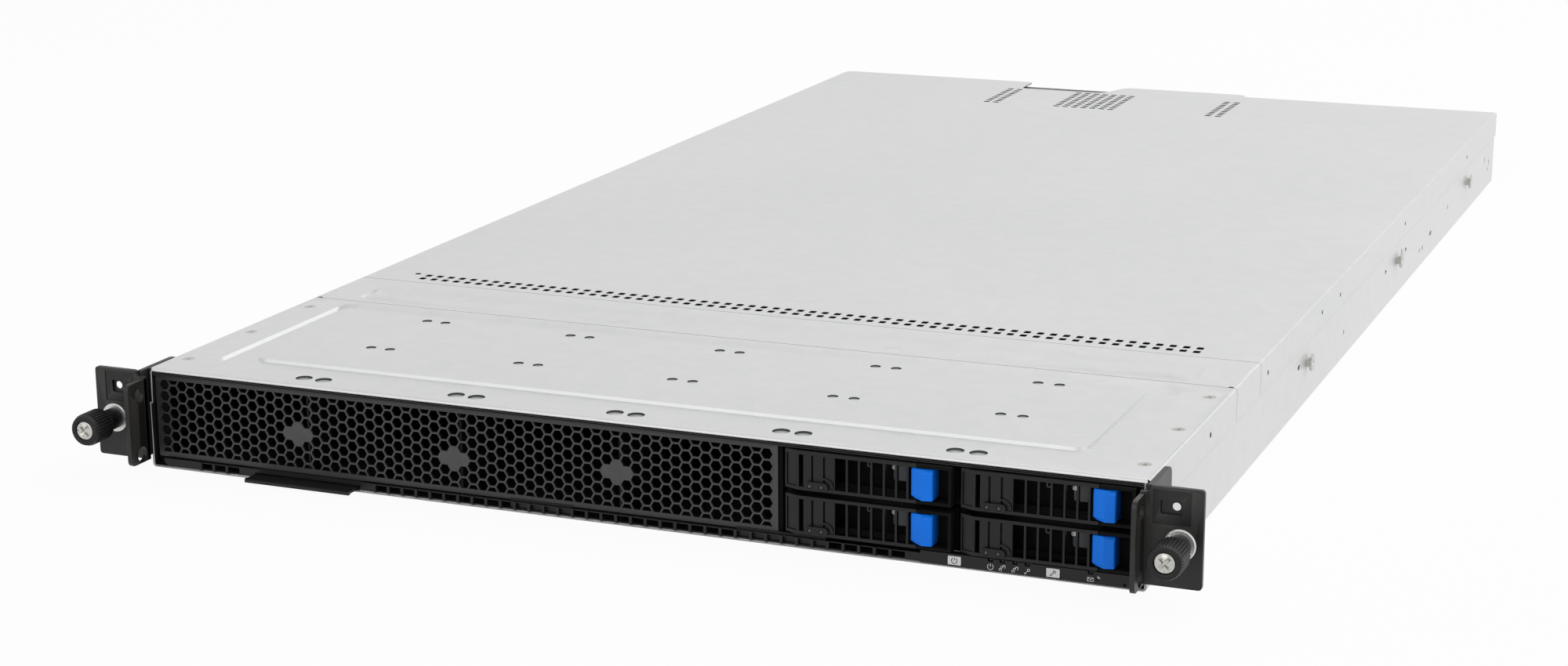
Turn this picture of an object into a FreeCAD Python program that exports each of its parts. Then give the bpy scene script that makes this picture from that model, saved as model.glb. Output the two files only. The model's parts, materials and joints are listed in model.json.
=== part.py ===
"""One-unit rack server, modelled as an assembly of separate closed solids, in millimetres.

X runs across the rack, +Y from the front to the rear and +Z up. The origin lies on the centre
line, at the height of the chassis underside, in the plane where the ears meet the rack posts.
"""
import FreeCAD
import Part

import math
import os

V = FreeCAD.Vector

# ---- overall size -----------------------------------------------------------------------------
CHASSIS_WIDTH = 438.5     # over the cover flanges
CHASSIS_HEIGHT = 43.5     # underside to the top of the covers
EAR_REACH = 22.05         # ear beyond the chassis side, for a rack width of 482.6
SHEET = 1.0               # chassis and cover sheet
FRONT_Y = 4.0             # front edge of the chassis floor
COVER_FRONT_Y = 5.0       # front edge of the front cover
SEAM_1_Y = 140.4          # front cover to bridge
SEAM_2_Y = 183.8          # bridge to sliding cover
REAR_WALL_Y = 826.0       # rear face of the chassis
COVER_OVERHANG = 3.5      # sliding cover past the rear face
TAB_LENGTH = 7.2          # how far the cover tabs reach past that edge
FLANGE_DEPTH = 14.2       # height of the covers' side flanges
GAP = 0.3                 # running clearance between separate bodies
SEAM_GAP = 0.3            # between two covers
FIT = 0.06                # radial play of a pin or screw in its bore
ROUND_SIDES = 12          # sides of small round pieces that show
FASTENER_SIDES = 8        # sides of repeated fasteners and bores
CORNER_STEPS = 4          # straight steps round a quarter turn
BEND_R = 1.2              # outer radius of the sheet's folds

# ---- ears and thumbscrews ---------------------------------------------------------------------
EAR_SHEET = 2.0
EAR_Z0 = 5.2
EAR_OVER_TOP = 0.3        # ear above the covers
EAR_NOTCH = 2.5           # inner top corner, below the covers' top
EAR_FLANGE_LENGTH = 28.0
EAR_TUCK = 2.25           # ear's inner edge, inside the chassis side
PLATE_REACH = 14.0        # inner plate, forward of the rack plane
PLATE_Z0 = 4.6
PLATE_DROP = 2.9          # top of the inner plate below the covers' top
PLATE_HOLE_R = 3.25
PLATE_HOLE_Y = -6.0
PLATE_HOLE_Z = 8.4
PLATE_HOLE_SPACING = 25.7
WINDOW_W = 8.4
WINDOW_H = 5.4
WINDOW_DEPTH = 1.4
WINDOW_OUT = 9.75         # window centre, out from the chassis side
WINDOW_DROP = 7.6         # window centre below the covers' top
WINDOW_HOLE_R = 1.6
BORDER = 2.8              # width of the sunken border round the window
BORDER_DEPTH = 0.25
SCREW_OUT = 13.35         # thumbscrew axis, out from the chassis side
SCREW_Z = 22.0
FERRULE_R = 6.5
FERRULE_RIM = 0.9
FERRULE_REAR = 1.0        # collar behind the ear
COLLAR_R = 5.7
BARREL_R = 4.7
KNOB_R = 7.0
KNOB_LENGTH = 12.2
KNOB_FLUTES = 18
KNOB_FLUTE_DEPTH = 0.5
KNOB_LAND = 0.08          # turned off the crests between the flutes
KNOB_RIM = 0.8            # plain rim at the knob's front
SCREW_R = 2.5
SCREW_HEAD_R = 4.15
SCREW_HEAD_T = 1.2
SCREW_TRAVEL = 9.0
SCREW_TIP = 4.4           # free end behind the clip
CLIP_R = 4.2
CLIP_T = 0.8

# ---- covers -----------------------------------------------------------------------------------
LIP_WIDTH = 12.0          # inward lip of the chassis wall under the fixed covers
COVER_SCREW_IN = 7.6      # cover screws, in from the chassis side
COVER_SCREW_Y0 = 23.8
COVER_SCREW_PITCH = 49.9
COVER_SCREW_ROWS = 3
COVER_SCREW_R = 1.5
COVER_SCREW_HEAD_R = 2.7
MOAT_IN = 19.95           # outer edge of the sunken border, in from the chassis side
MOAT_W = 13.7             # its width at the sides
MOAT_FRONT = 15.8         # its front edge behind the cover's front edge
MOAT_FRONT_W = 14.5
MOAT_REAR = 4.4           # its rear edge ahead of the first seam
MOAT_REAR_W = 10.8
MOAT_DEPTH = 1.2
MOAT_R = 11.0
PLATEAU_R = 6.0
BRIDGE_SINK = 0.9         # long sunken strip of the bridge
BRIDGE_SINK_IN = 19.25
BRIDGE_SINK_Y0 = 144.0
BRIDGE_SINK_L = 26.5
VENT_SLOT_X = 3.2         # slots of the two rows behind the second seam
VENT_SLOT_Y = 4.0
VENT_COUNT = 12
VENT_IN = 29.6            # end slots, in from the chassis side
VENT_ROW_Y = 7.8          # first row behind the seam
VENT_ROW_PITCH = 6.2
REAR_SLOT_Y = 17.5        # rear vent patches, ahead of the rear face
REAR_SLOT_L = 55.0
REAR_SLOT_X = 3.6
REAR_SLOT_PITCH = 7.4
PATCH_XS = (-89.0, -28.0, 56.2)
PATCH_COUNTS = (1, 4, 1)
TAB_R = 5.0
TAB_1_X = -88.0
TAB_2_X0 = -46.0
TAB_2_X1 = 60.0
TAB_SLOPE = 24.0

# ---- front ------------------------------------------------------------------------------------
RAIL_DROP = 0.6           # ridged rail below the front cover's underside
RAIL_H = 1.2
RAIL_GROOVE = 0.4
FRAME_DEPTH = 4.0
GRILLE_Y = 6.0
GRILLE_T = 1.0
GRILLE_Z0 = 4.6
FIELD_MARGIN_X = 7.4      # sheet edge to the first column's centres
FIELD_MARGIN_Z = 1.5
CELL_ROWS = 3             # whole cells in a column, which also has one half cell
WEB = 1.2                 # web between two cells
CELL_STRETCH = 1.5        # cell width against a regular hexagon
BLANK_PLACES = (0.235, 0.5, 0.765)
BLANK_W = 16.0
BLANK_H = 13.0
STRIP_Y = 4.2             # ribbed vent strip under the grille
STRIP_T = 1.2
STRIP_Z1 = 4.3
STRIP_RAIL = 0.5
STRIP_IN = 6.05           # strip ends, in from the chassis side
STRIP_SOLID = 12.1        # the strip's plain left end
RIB_PITCH = 19.5
RIB_W = 1.3
CONTROL_W = 83.2
CONTROL_Y0 = 2.2
CONTROL_Y1 = 6.0
CONTROL_Z1 = 6.1
BUTTON_W = 5.2
BUTTON_H = 3.4
BUTTON_Z = 3.6
BUTTON_PROUD = 0.3
BUTTON_FOOT = 1.0
POWER_IN = 13.9           # power button from the control strip's left end
LOCATE_IN = 53.1
RESET_IN = 70.5
RESET_HOLE_R = 0.9
RESET_DEEP = 1.5
LAMP_INS = (28.3, 33.0, 38.1, 42.9, 66.6)
LAMP_SIZE = 1.6
TAG_IN = 45.2             # tag's left edge from the strip's left end
TAG_W = 50.0
TAG_Z0 = 1.4
TAG_T = 1.0
TAG_Y0 = -4.4
TAG_LENGTH = 60.0
TAG_LIP = 0.4
CHANNEL_WALL = 1.8

# ---- drive bays -------------------------------------------------------------------------------
BAY_SIDE = 4.95           # last tray's front to the chassis side
TRAY_PITCH = 72.0
TRAY_Z0 = 6.5
TRAY_SPLIT = 2.4          # between a lower and an upper tray
TRAY_DROP = 3.2           # top of the upper tray below the covers' top
TRAY_W = 68.8
TRAY_Y = 2.0              # front plane of the trays
BAR = 1.2                 # bars of the tray front
LEVER_T = 2.0
LEVER_W = 54.6
LEVER_SWEEP_X = 5.9       # the lever's left end is swept back
LEVER_SWEEP_Y = 2.2
SLOT_1_IN = 6.5
SLOT_2_IN = 11.5
SLOT_3_IN = 16.4
SLOT_1_W = 1.6
SLOT_2_W = 0.9
GRID_IN = 21.3            # start of the lever's open grid
GRID_CELLS = 6
GRID_PITCH = 5.06
GRID_RIB = 0.9
PILL_IN = 9.1
PILL_W = 9.7
PILL_Z = 0.3
PILL_H = 3.5
PILL_PROUD = 0.8
HINGE_X = 2.7
HINGE_Y = 7.4
HINGE_PIN_R = 0.8
KNUCKLE_R = 1.5
LUG_R = 1.45
LATCH_IN = 52.3
LATCH_W = 9.2
LATCH_PLAY = 0.5
LATCH_PROUD = 1.4
CARRIER_SIDE = 0.5
CARRIER_EDGE = 1.3        # carrier beyond the tray front's left edge
CARRIER_LENGTH = 118.0
CARRIER_FRONT_Y = 9.2
DRIVE_W = 69.85
DRIVE_L = 100.0
DRIVE_DROP = 1.1          # drive lower than the tray front
DRIVE_SET = 5.0           # drive behind the carrier's front wall
CAGE_SHEET = 0.5
CAGE_SHELF = 0.6
BACKPLANE_Y = 133.0
GRILLE_POST = 3.9         # grille's right edge to the first tray
DIVIDER_PITCH = 71.9
DIVIDER_T = 1.0
DIVIDER_FOOT = 6.0

# ---- inside -----------------------------------------------------------------------------------
BOARD_T = 1.6
BOARD_Z = 6.0
BOARD_Y0 = 300.0
BOARD_REAR = 14.0         # rear edge ahead of the rear face
BOARD_SIDE = 3.0          # side edges from the chassis walls
STANDOFF_R = 3.0
FAN_DEPTH = 28.0
FAN_COUNT = 6
FAN_Y = 232.0
FAN_WALL = 1.5
FAN_STRUT = 4.0
HUB_R = 9.0
HUB_TURNED = 1.12         # radius of the turned corners against the flats
BLADES = 5
FAN_SIDES = 10            # sides of a fan's duct
BLADE_T = 1.2
BLADE_PITCH = 38.0
SINK_SPREAD = 95.0        # processors from the centre line
SINK_W = 78.0
SINK_L = 108.0
SINK_Y = 380.0
SINK_H = 27.0
SINK_FINS = 8
SINK_BASE = 4.0
FIN_T = 1.6
SOCKET_H = 4.0
DIMM_L = 133.0
DIMM_H = 30.0
DIMM_T = 3.5
DIMM_PITCH = 12.0
DIMM_COUNT = 4
DIMM_SPREAD = 170.0
DUCT_T = 1.4
DUCT_DROP = 3.9
DUCT_Y0 = 312.0
DUCT_L = 193.0
DUCT_IN = 13.0
RISER_XS = (-96.0, -30.0)
RISER_L = 140.0
RISER_H = 28.0
RISER_SOCKET = 3.0

# ---- rear -------------------------------------------------------------------------------------
PSU_W = 73.5
PSU_DROP = 3.4            # top of a power supply below the covers' top
PSU_L = 185.0
PSU_SIDE = 5.35           # last power supply to the chassis side
PSU_DIVIDER = 1.0
PSU_PLAY = 0.5
PSU_FACE = 3.0            # power supply's face past the rear wall
PSU_FAN_X = 22.5
PSU_FAN_R = 17.2
PSU_FAN_DEPTH = 14.0
PSU_GUARD = 1.2
INLET_X = 55.0
INLET_W = 24.5
INLET_H = 16.5
INLET_DEPTH = 15.0
INLET_Z = 14.0
INLET_PIN_SHORT = 5.0
HANDLE_REACH = 24.0
HANDLE_T = 3.0
HANDLE_W = 9.0
HANDLE_SPAN = 30.0
HANDLE_Z = 24.0
LATCH_LEVER_T = 1.6
LATCH_LEVER_IN = 4.6
LATCH_LEVER_H = 12.0
POWER_BOARD_GAP = 8.0
CARD_1_IN = 12.25         # first card opening from the left side
CARD_1_W = 103.0
CARD_2_OUT = 7.9          # second card opening to the power supply bay
CARD_2_W = 77.0
CARD_Z = 23.5
CARD_H = 15.5
MEZZ_IN = 14.25
MEZZ_W = 78.0
MEZZ_Z = 9.5
MEZZ_H = 9.0
COVER_VENT_PITCH = 24.0
COVER_VENT_W = 19.0
COVER_EDGE = 1.5
NET_IN = 109.25
USB_1_IN = 133.25
USB_2_IN = 151.25
DISPLAY_IN = 179.25

# ---- rail studs and wall features -------------------------------------------------------------
STUD_YS = (279.0, 500.5, 722.3)
STUD_Z = 20.0
STUD_R = 2.25
STUD_HEAD_R = 4.0
STUD_LENGTH = 2.0
STUD_HEAD_T = 1.2
WALL_SLOTS = ((514.4, 21.4, 4.0), (574.0, 10.2, 9.0), (603.4, 13.0, 6.0), (658.4, 17.1, 6.0), (797.0, 16.4, 9.0))
WALL_SLOT_H = 2.6

# ---- worked out from the sizes above ----------------------------------------------------------
HALF = CHASSIS_WIDTH / 2
TOP = CHASSIS_HEIGHT
FLANGE_Z = TOP - FLANGE_DEPTH
LOW_X = HALF - GAP                      # outer face of the wall under the flanges
HIGH_X = HALF - SHEET - GAP             # outer face of the wall inside the flanges
INNER_X = HIGH_X - SHEET
JOGGLE_Z = FLANGE_Z - GAP
COVER_Z = TOP - SHEET                   # underside of the covers
WALL_TOP_Z = COVER_Z - GAP
LID_Y0 = SEAM_2_Y + SEAM_GAP / 2
REAR_Y = REAR_WALL_Y + COVER_OVERHANG
EAR_X1 = HALF + EAR_REACH
EAR_X0 = HALF - EAR_TUCK
EAR_Z1 = TOP + EAR_OVER_TOP
SCREW_X = HALF + SCREW_OUT
WINDOW_X = HALF + WINDOW_OUT
WINDOW_Z = TOP - WINDOW_DROP
BARREL_LENGTH = SCREW_TRAVEL + 2 * GAP
RIM_Y = -EAR_SHEET - FERRULE_RIM
BARREL_Y = RIM_Y - BARREL_LENGTH
KNOB_Y1 = RIM_Y - GAP - SCREW_TRAVEL
KNOB_Y0 = KNOB_Y1 - KNOB_LENGTH
CLIP_Y = FERRULE_REAR + GAP
SCREW_TIP_Y = CLIP_Y + CLIP_T + SCREW_TIP
COVER_SCREW_X = HALF - COVER_SCREW_IN
COVER_SCREW_YS = [COVER_SCREW_Y0 + i * COVER_SCREW_PITCH for i in range(COVER_SCREW_ROWS)]
COVER_SCREW_DEPTH = 2 * SHEET + GAP
MOAT_X1 = HALF - MOAT_IN
MOAT_X0 = MOAT_X1 - MOAT_W
MOAT_Y0 = COVER_FRONT_Y + MOAT_FRONT
MOAT_Y1 = SEAM_1_Y - MOAT_REAR
RAIL_Z1 = COVER_Z - RAIL_DROP
RAIL_Z0 = RAIL_Z1 - RAIL_H
TRAY_X0 = HALF - BAY_SIDE - TRAY_W - TRAY_PITCH
TRAY_H = (TOP - TRAY_DROP - TRAY_Z0 - TRAY_SPLIT) / 2
TRAY_ZS = (TRAY_Z0, TRAY_Z0 + TRAY_H + TRAY_SPLIT)
BAY_WALL_X = TRAY_X0 + TRAY_PITCH - CARRIER_EDGE - GAP - CAGE_SHEET
CAGE_TOP = COVER_Z - MOAT_DEPTH - 0.1
DRIVE_H = TRAY_H - DRIVE_DROP
GRILLE_X0 = -INNER_X + GAP
GRILLE_X1 = TRAY_X0 - GRILLE_POST
GRILLE_Z1 = RAIL_Z0 - GAP
FIELD_X0 = GRILLE_X0 + FIELD_MARGIN_X
FIELD_X1 = GRILLE_X1 - FIELD_MARGIN_X
FIELD_Z0 = GRILLE_Z0 + FIELD_MARGIN_Z
FIELD_Z1 = GRILLE_Z1 - FIELD_MARGIN_Z
STRIP_X0 = -HALF + STRIP_IN
STRIP_BACK = STRIP_Y + STRIP_T
CONTROL_X1 = HALF - STRIP_IN
CONTROL_X0 = CONTROL_X1 - CONTROL_W
TAG_X0 = STRIP_X0 + TAG_IN
TAG_X1 = TAG_X0 + TAG_W
TAG_ROOF = TAG_Z0 + TAG_T + GAP + CHANNEL_WALL
FAN_SIZE = CAGE_TOP - SHEET - GAP
FAN_BORE_R = FAN_SIZE / 2 - FAN_WALL
BOARD_TOP = BOARD_Z + BOARD_T
BOARD_Y1 = REAR_WALL_Y - BOARD_REAR
DUCT_Z = TOP - DUCT_DROP
PSU_STEP = PSU_W + 2 * PSU_PLAY + PSU_DIVIDER
PSU_X0 = HALF - PSU_SIDE - PSU_PLAY - PSU_W - PSU_STEP
PSU_Z = SHEET + GAP
PSU_H = TOP - PSU_DROP - PSU_Z
PSU_Y1 = REAR_WALL_Y + PSU_FACE
PSU_Y0 = PSU_Y1 - PSU_L


def box(x0, x1, y0, y1, z0, z1):
    """Block between two corners."""
    return Part.makeBox(x1 - x0, y1 - y0, z1 - z0, V(x0, y0, z0))


def rod(x, y0, z, radius, length):
    """Cylinder along +Y from y0."""
    return Part.makeCylinder(radius, length, V(x, y0, z), V(0, 1, 0))


def rod_x(x0, y, z, radius, length):
    """Cylinder along +X from x0."""
    return Part.makeCylinder(radius, length, V(x0, y, z), V(1, 0, 0))


def sides_of(x, z, radius, sides, bore=False):
    """Corners of a regular polygon: in the circle, or round it for a bore."""
    reach = radius / math.cos(math.pi / sides) if bore else radius
    return [(x + reach * math.cos(2 * math.pi * (k + 0.5) / sides),
             z + reach * math.sin(2 * math.pi * (k + 0.5) / sides)) for k in range(sides)]


def bar_x(x0, y, z, radius, length, sides, bore=False):
    """Many-sided bar along +X from x0."""
    return extrude_x(sides_of(y, z, radius, sides, bore), x0, x0 + length)


def bar_y(x, y0, z, radius, length, sides, bore=False):
    """Many-sided bar along +Y from y0."""
    return extrude_y(sides_of(x, z, radius, sides, bore), y0, y0 + length)


def bar_z(x, y, z0, radius, length, sides, bore=False):
    """Many-sided bar along +Z from z0."""
    return extrude_z(sides_of(x, y, radius, sides, bore), z0, z0 + length)


def outline(points):
    """Closed wire of straight edges."""
    return Part.makePolygon(list(points) + [points[0]])


def extrude_y(points, y0, y1):
    """Prism of an XZ outline along Y."""
    return Part.Face(outline([V(x, y0, z) for x, z in points])).extrude(V(0, y1 - y0, 0))


def extrude_z(points, z0, z1):
    """Prism of an XY outline along Z."""
    return Part.Face(outline([V(x, y, z0) for x, y in points])).extrude(V(0, 0, z1 - z0))


def extrude_x(points, x0, x1):
    """Prism of a YZ outline along X."""
    return Part.Face(outline([V(x0, y, z) for y, z in points])).extrude(V(x1 - x0, 0, 0))


def pierced(edge, holes, direction):
    """Plate: an outline with holes in it, extruded."""
    wires = [outline(edge)] + [outline(hole) for hole in holes]
    return Part.makeFace(wires, "Part::FaceMakerBullseye").extrude(direction)


def corner_edges(shape, axis, corners):
    """Edges along one axis that pass through the given corner points of the other two."""
    found = []
    keep = [i for i in range(3) if i != axis]
    for edge in shape.Edges:
        a = edge.Vertexes[0].Point
        b = edge.Vertexes[-1].Point
        if abs(a[keep[0]] - b[keep[0]]) > 1e-6 or abs(a[keep[1]] - b[keep[1]]) > 1e-6:
            continue
        if any(abs(a[keep[0]] - p) < 1e-4 and abs(a[keep[1]] - q) < 1e-4 for p, q in corners):
            found.append(edge)
    return found


def arc(p, q, radius, start):
    """Points of a quarter turn about a centre, from a start angle in degrees."""
    angles = [math.radians(start + 90.0 * k / CORNER_STEPS) for k in range(CORNER_STEPS + 1)]
    return [(p + radius * math.cos(a), q + radius * math.sin(a)) for a in angles]


def rounded_block(x0, x1, y0, y1, z0, z1, radius):
    """Block with its four upright edges rounded."""
    points = (arc(x1 - radius, y1 - radius, radius, 0) + arc(x0 + radius, y1 - radius, radius, 90)
              + arc(x0 + radius, y0 + radius, radius, 180) + arc(x1 - radius, y0 + radius, radius, 270))
    return extrude_z(points, z0, z1)


def mirrored(shape):
    """The same shape on the other side of the centre plane."""
    return shape.mirror(V(0, 0, 0), V(1, 0, 0))


def both_sides(shape):
    """A shape and its mirror image."""
    return [shape, mirrored(shape)]


def joined(first, *others):
    """One solid from overlapping or touching ones."""
    result = first
    for other in others:
        result = result.fuse(other)
    return result.removeSplitter()


def cut_all(shape, tools):
    """A shape less every tool."""
    return shape.cut(Part.makeCompound(tools)) if tools else shape


def save(name, *solids):
    """Write one node."""
    shape = solids[0] if len(solids) == 1 else Part.makeCompound(list(solids))
    shape.exportStep("parts/" + name + ".step")
    count = len(shape.Solids)
    print("%-24s solids %2d  faces %4d  valid %s" % (name, count, len(shape.Faces), shape.isValid()))


# ---- chassis ----------------------------------------------------------------------------------

def wall_half():
    """Half of the floor and wall section, as XZ points from the centre line outwards and back."""
    return [(0, 0)] + arc(LOW_X - BEND_R, BEND_R, BEND_R, 270) + [
        (LOW_X, JOGGLE_Z), (HIGH_X, JOGGLE_Z), (HIGH_X, WALL_TOP_Z), (INNER_X, WALL_TOP_Z),
        (INNER_X, JOGGLE_Z - SHEET), (LOW_X - SHEET, JOGGLE_Z - SHEET), (LOW_X - SHEET, SHEET), (0, SHEET)]


def base_pan():
    """Floor and side walls from one folded sheet, with lips for the fixed covers."""
    half = extrude_y(wall_half(), FRONT_Y, REAR_WALL_Y)
    lip_y0 = STRIP_Y + 2 * FRAME_DEPTH
    lip = box(HIGH_X - LIP_WIDTH, HIGH_X, lip_y0, SEAM_2_Y - SEAM_GAP, COVER_Z - SHEET, COVER_Z)
    half = joined(half, lip)
    cuts = [bar_z(COVER_SCREW_X, y, COVER_Z - 2 * SHEET, COVER_SCREW_R + FIT, 3 * SHEET, FASTENER_SIDES, True)
            for y in COVER_SCREW_YS]
    for y, z, length in WALL_SLOTS:
        cuts.append(box(LOW_X - 2 * SHEET, HALF, y - length / 2, y + length / 2,
                        z - WALL_SLOT_H / 2, z + WALL_SLOT_H / 2))
    half = cut_all(half, cuts)
    return joined(half, mirrored(half))


def rail_stud():
    """Headed studs that hook into the keyholes of a slide rail's inner member."""
    studs = []
    for y in STUD_YS:
        shank = bar_x(LOW_X, y, STUD_Z, STUD_R, STUD_LENGTH, FASTENER_SIDES)
        head = bar_x(LOW_X + STUD_LENGTH, y, STUD_Z, STUD_HEAD_R, STUD_HEAD_T, FASTENER_SIDES)
        studs.append(joined(shank, head))
    return studs


def cover_section(y0, y1):
    """Folded cover section along Y: top sheet and two side flanges with rounded bends."""
    points = ([(HALF, FLANGE_Z)] + arc(HALF - BEND_R, TOP - BEND_R, BEND_R, 0)
              + arc(-HALF + BEND_R, TOP - BEND_R, BEND_R, 90)
              + [(-HALF, FLANGE_Z), (-HALF + SHEET, FLANGE_Z), (-HALF + SHEET, COVER_Z),
                 (HALF - SHEET, COVER_Z), (HALF - SHEET, FLANGE_Z)])
    return extrude_y(points, y0, y1)


def cover_screw(x, y, play):
    """Countersunk cover screw, grown by the play."""
    depth = COVER_SCREW_HEAD_R - COVER_SCREW_R
    wires = []
    for z, radius in ((TOP - depth, COVER_SCREW_R + play), (TOP, COVER_SCREW_HEAD_R + play)):
        wires.append(outline([V(a, b, z) for a, b in sides_of(x, y, radius, FASTENER_SIDES, play > 0)]))
    head = Part.makeLoft(wires, True, True)
    shank = bar_z(x, y, TOP - COVER_SCREW_DEPTH, COVER_SCREW_R + play, COVER_SCREW_DEPTH - depth,
                  FASTENER_SIDES, play > 0)
    return joined(head, shank)


def front_cover():
    """Fixed front cover with a sunken border round a plateau and countersunk screw holes."""
    cover = cover_section(COVER_FRONT_Y, SEAM_1_Y - SEAM_GAP / 2)
    edge_x = INNER_X - GAP
    lip = box(-edge_x, edge_x, COVER_FRONT_Y, COVER_FRONT_Y + SHEET, COVER_Z - SHEET / 2, COVER_Z)
    tray = box(-MOAT_X1 - SHEET, MOAT_X1 + SHEET, MOAT_Y0 - SHEET, MOAT_Y1 + SHEET, COVER_Z - MOAT_DEPTH, COVER_Z)
    cover = joined(cover, lip, tray)
    inner_y0 = MOAT_Y0 + MOAT_FRONT_W
    inner_y1 = MOAT_Y1 - MOAT_REAR_W
    moat = rounded_block(-MOAT_X1, MOAT_X1, MOAT_Y0, MOAT_Y1, TOP - MOAT_DEPTH, TOP, MOAT_R)
    plateau = rounded_block(-MOAT_X0, MOAT_X0, inner_y0, inner_y1, TOP - MOAT_DEPTH, TOP, PLATEAU_R)
    hollow = box(-MOAT_X0 + SHEET, MOAT_X0 - SHEET, inner_y0 + SHEET, inner_y1 - SHEET, COVER_Z - MOAT_DEPTH, COVER_Z)
    holes = [cover_screw(x, y, FIT) for x in (-COVER_SCREW_X, COVER_SCREW_X) for y in COVER_SCREW_YS]
    return cut_all(cover, [moat.cut(plateau), hollow] + holes)


def mid_bridge():
    """Fixed cross bridge between the two covers, with a long sunken strip."""
    x1 = HALF - BRIDGE_SINK_IN
    y0 = BRIDGE_SINK_Y0
    y1 = y0 + BRIDGE_SINK_L
    bridge = cover_section(SEAM_1_Y + SEAM_GAP / 2, SEAM_2_Y - SEAM_GAP / 2)
    pan = box(-x1 - SHEET, x1 + SHEET, y0 - SHEET, y1 + SHEET, COVER_Z - BRIDGE_SINK, COVER_Z)
    sink = rounded_block(-x1, x1, y0, y1, TOP - BRIDGE_SINK, TOP, MOAT_R)
    return joined(bridge, pan).cut(sink)


def cover_screws():
    """Countersunk screws through the front cover into the wall lips."""
    return [cover_screw(x, y, 0) for x in (-COVER_SCREW_X, COVER_SCREW_X) for y in COVER_SCREW_YS]


def top_cover():
    """Sliding rear cover with vent slots, a notched rear edge and side flanges."""
    cover = cover_section(LID_Y0, REAR_Y)
    end = REAR_Y + TAB_LENGTH
    tab_1 = rounded_block(-HALF, TAB_1_X, REAR_Y - 3 * TAB_R, end, COVER_Z, TOP, TAB_R * 0.6)
    slope_x = TAB_2_X0 + TAB_SLOPE
    tab_2 = extrude_z([(TAB_2_X0, REAR_Y - TAB_R), (TAB_2_X1, REAR_Y - TAB_R), (TAB_2_X1, end - TAB_R / 2),
                       (TAB_2_X1 - TAB_R / 2, end), (slope_x, end), (slope_x - TAB_R, end - TAB_R / 3),
                       (TAB_2_X0 + TAB_R, REAR_Y + TAB_R / 4), (TAB_2_X0, REAR_Y)], COVER_Z, TOP)
    cover = joined(cover, tab_1, tab_2)
    slots = []
    first = -HALF + VENT_IN
    step = -2 * first / (VENT_COUNT - 1)
    for row in range(2):
        y = SEAM_2_Y + VENT_ROW_Y + row * VENT_ROW_PITCH
        for i in range(VENT_COUNT):
            x = first + i * step
            slots.append(box(x - VENT_SLOT_X / 2, x + VENT_SLOT_X / 2, y - VENT_SLOT_Y / 2,
                             y + VENT_SLOT_Y / 2, COVER_Z - SHEET, TOP + SHEET))
    y1 = REAR_WALL_Y - REAR_SLOT_Y
    for centre, columns in zip(PATCH_XS, PATCH_COUNTS):
        for i in range(columns):
            x = centre + (i - (columns - 1) / 2) * REAR_SLOT_PITCH
            slots.append(box(x - REAR_SLOT_X / 2, x + REAR_SLOT_X / 2, y1 - REAR_SLOT_L, y1,
                             COVER_Z - SHEET, TOP + SHEET))
    return cut_all(cover, slots)


# ---- ears and thumbscrews ---------------------------------------------------------------------

def right_ear():
    """Bent ear: face plate, flange along the chassis side and inner plate with two holes."""
    face = extrude_y([(EAR_X0, EAR_Z0), (EAR_X1, EAR_Z0), (EAR_X1, EAR_Z1),
                      (HALF + EAR_SHEET, EAR_Z1), (HALF, TOP - EAR_NOTCH), (EAR_X0, TOP - EAR_NOTCH)],
                     -EAR_SHEET, 0)
    face = face.makeChamfer(1.2, corner_edges(face, 1, [(EAR_X1, EAR_Z0), (EAR_X1, EAR_Z1)]))
    flange = box(HALF, HALF + EAR_SHEET, -EAR_SHEET / 2, EAR_FLANGE_LENGTH, EAR_Z0, TOP)
    flange = flange.makeChamfer(2.4, corner_edges(flange, 0, [(EAR_FLANGE_LENGTH, TOP)]))
    plate = box(EAR_X0, EAR_X0 + EAR_SHEET, -PLATE_REACH, 0, PLATE_Z0, TOP - PLATE_DROP)
    plate_ends = [(-PLATE_REACH, PLATE_Z0), (-PLATE_REACH, TOP - PLATE_DROP)]
    plate = plate.makeChamfer(2.2, corner_edges(plate, 0, plate_ends))
    ear = joined(face, flange, plate)
    through = EAR_SHEET + 2
    tools = [bar_y(SCREW_X, -EAR_SHEET - 1, SCREW_Z, COLLAR_R, through, ROUND_SIDES, True)]
    for z in (PLATE_HOLE_Z, PLATE_HOLE_Z + PLATE_HOLE_SPACING):
        tools.append(rod_x(EAR_X0 - 1, PLATE_HOLE_Y, z, PLATE_HOLE_R, through))
    half_w = WINDOW_W / 2
    half_h = WINDOW_H / 2
    tools.append(box(WINDOW_X - half_w - BORDER, WINDOW_X + half_w + BORDER, -EAR_SHEET - 1,
                     -EAR_SHEET + BORDER_DEPTH, WINDOW_Z - half_h - BORDER, WINDOW_Z + half_h + BORDER))
    tools.append(box(WINDOW_X - half_w, WINDOW_X + half_w, -EAR_SHEET - 1, -EAR_SHEET + WINDOW_DEPTH,
                     WINDOW_Z - half_h, WINDOW_Z + half_h))
    tools.append(bar_y(WINDOW_X + half_w / 2, -EAR_SHEET - 1, WINDOW_Z, WINDOW_HOLE_R, through,
                       FASTENER_SIDES, True))
    return cut_all(ear, tools)


def screw_bore(y0, length):
    """Bore that the captive screw runs in."""
    return bar_y(SCREW_X, y0, SCREW_Z, SCREW_R + FIT, length, ROUND_SIDES, True)


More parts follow.
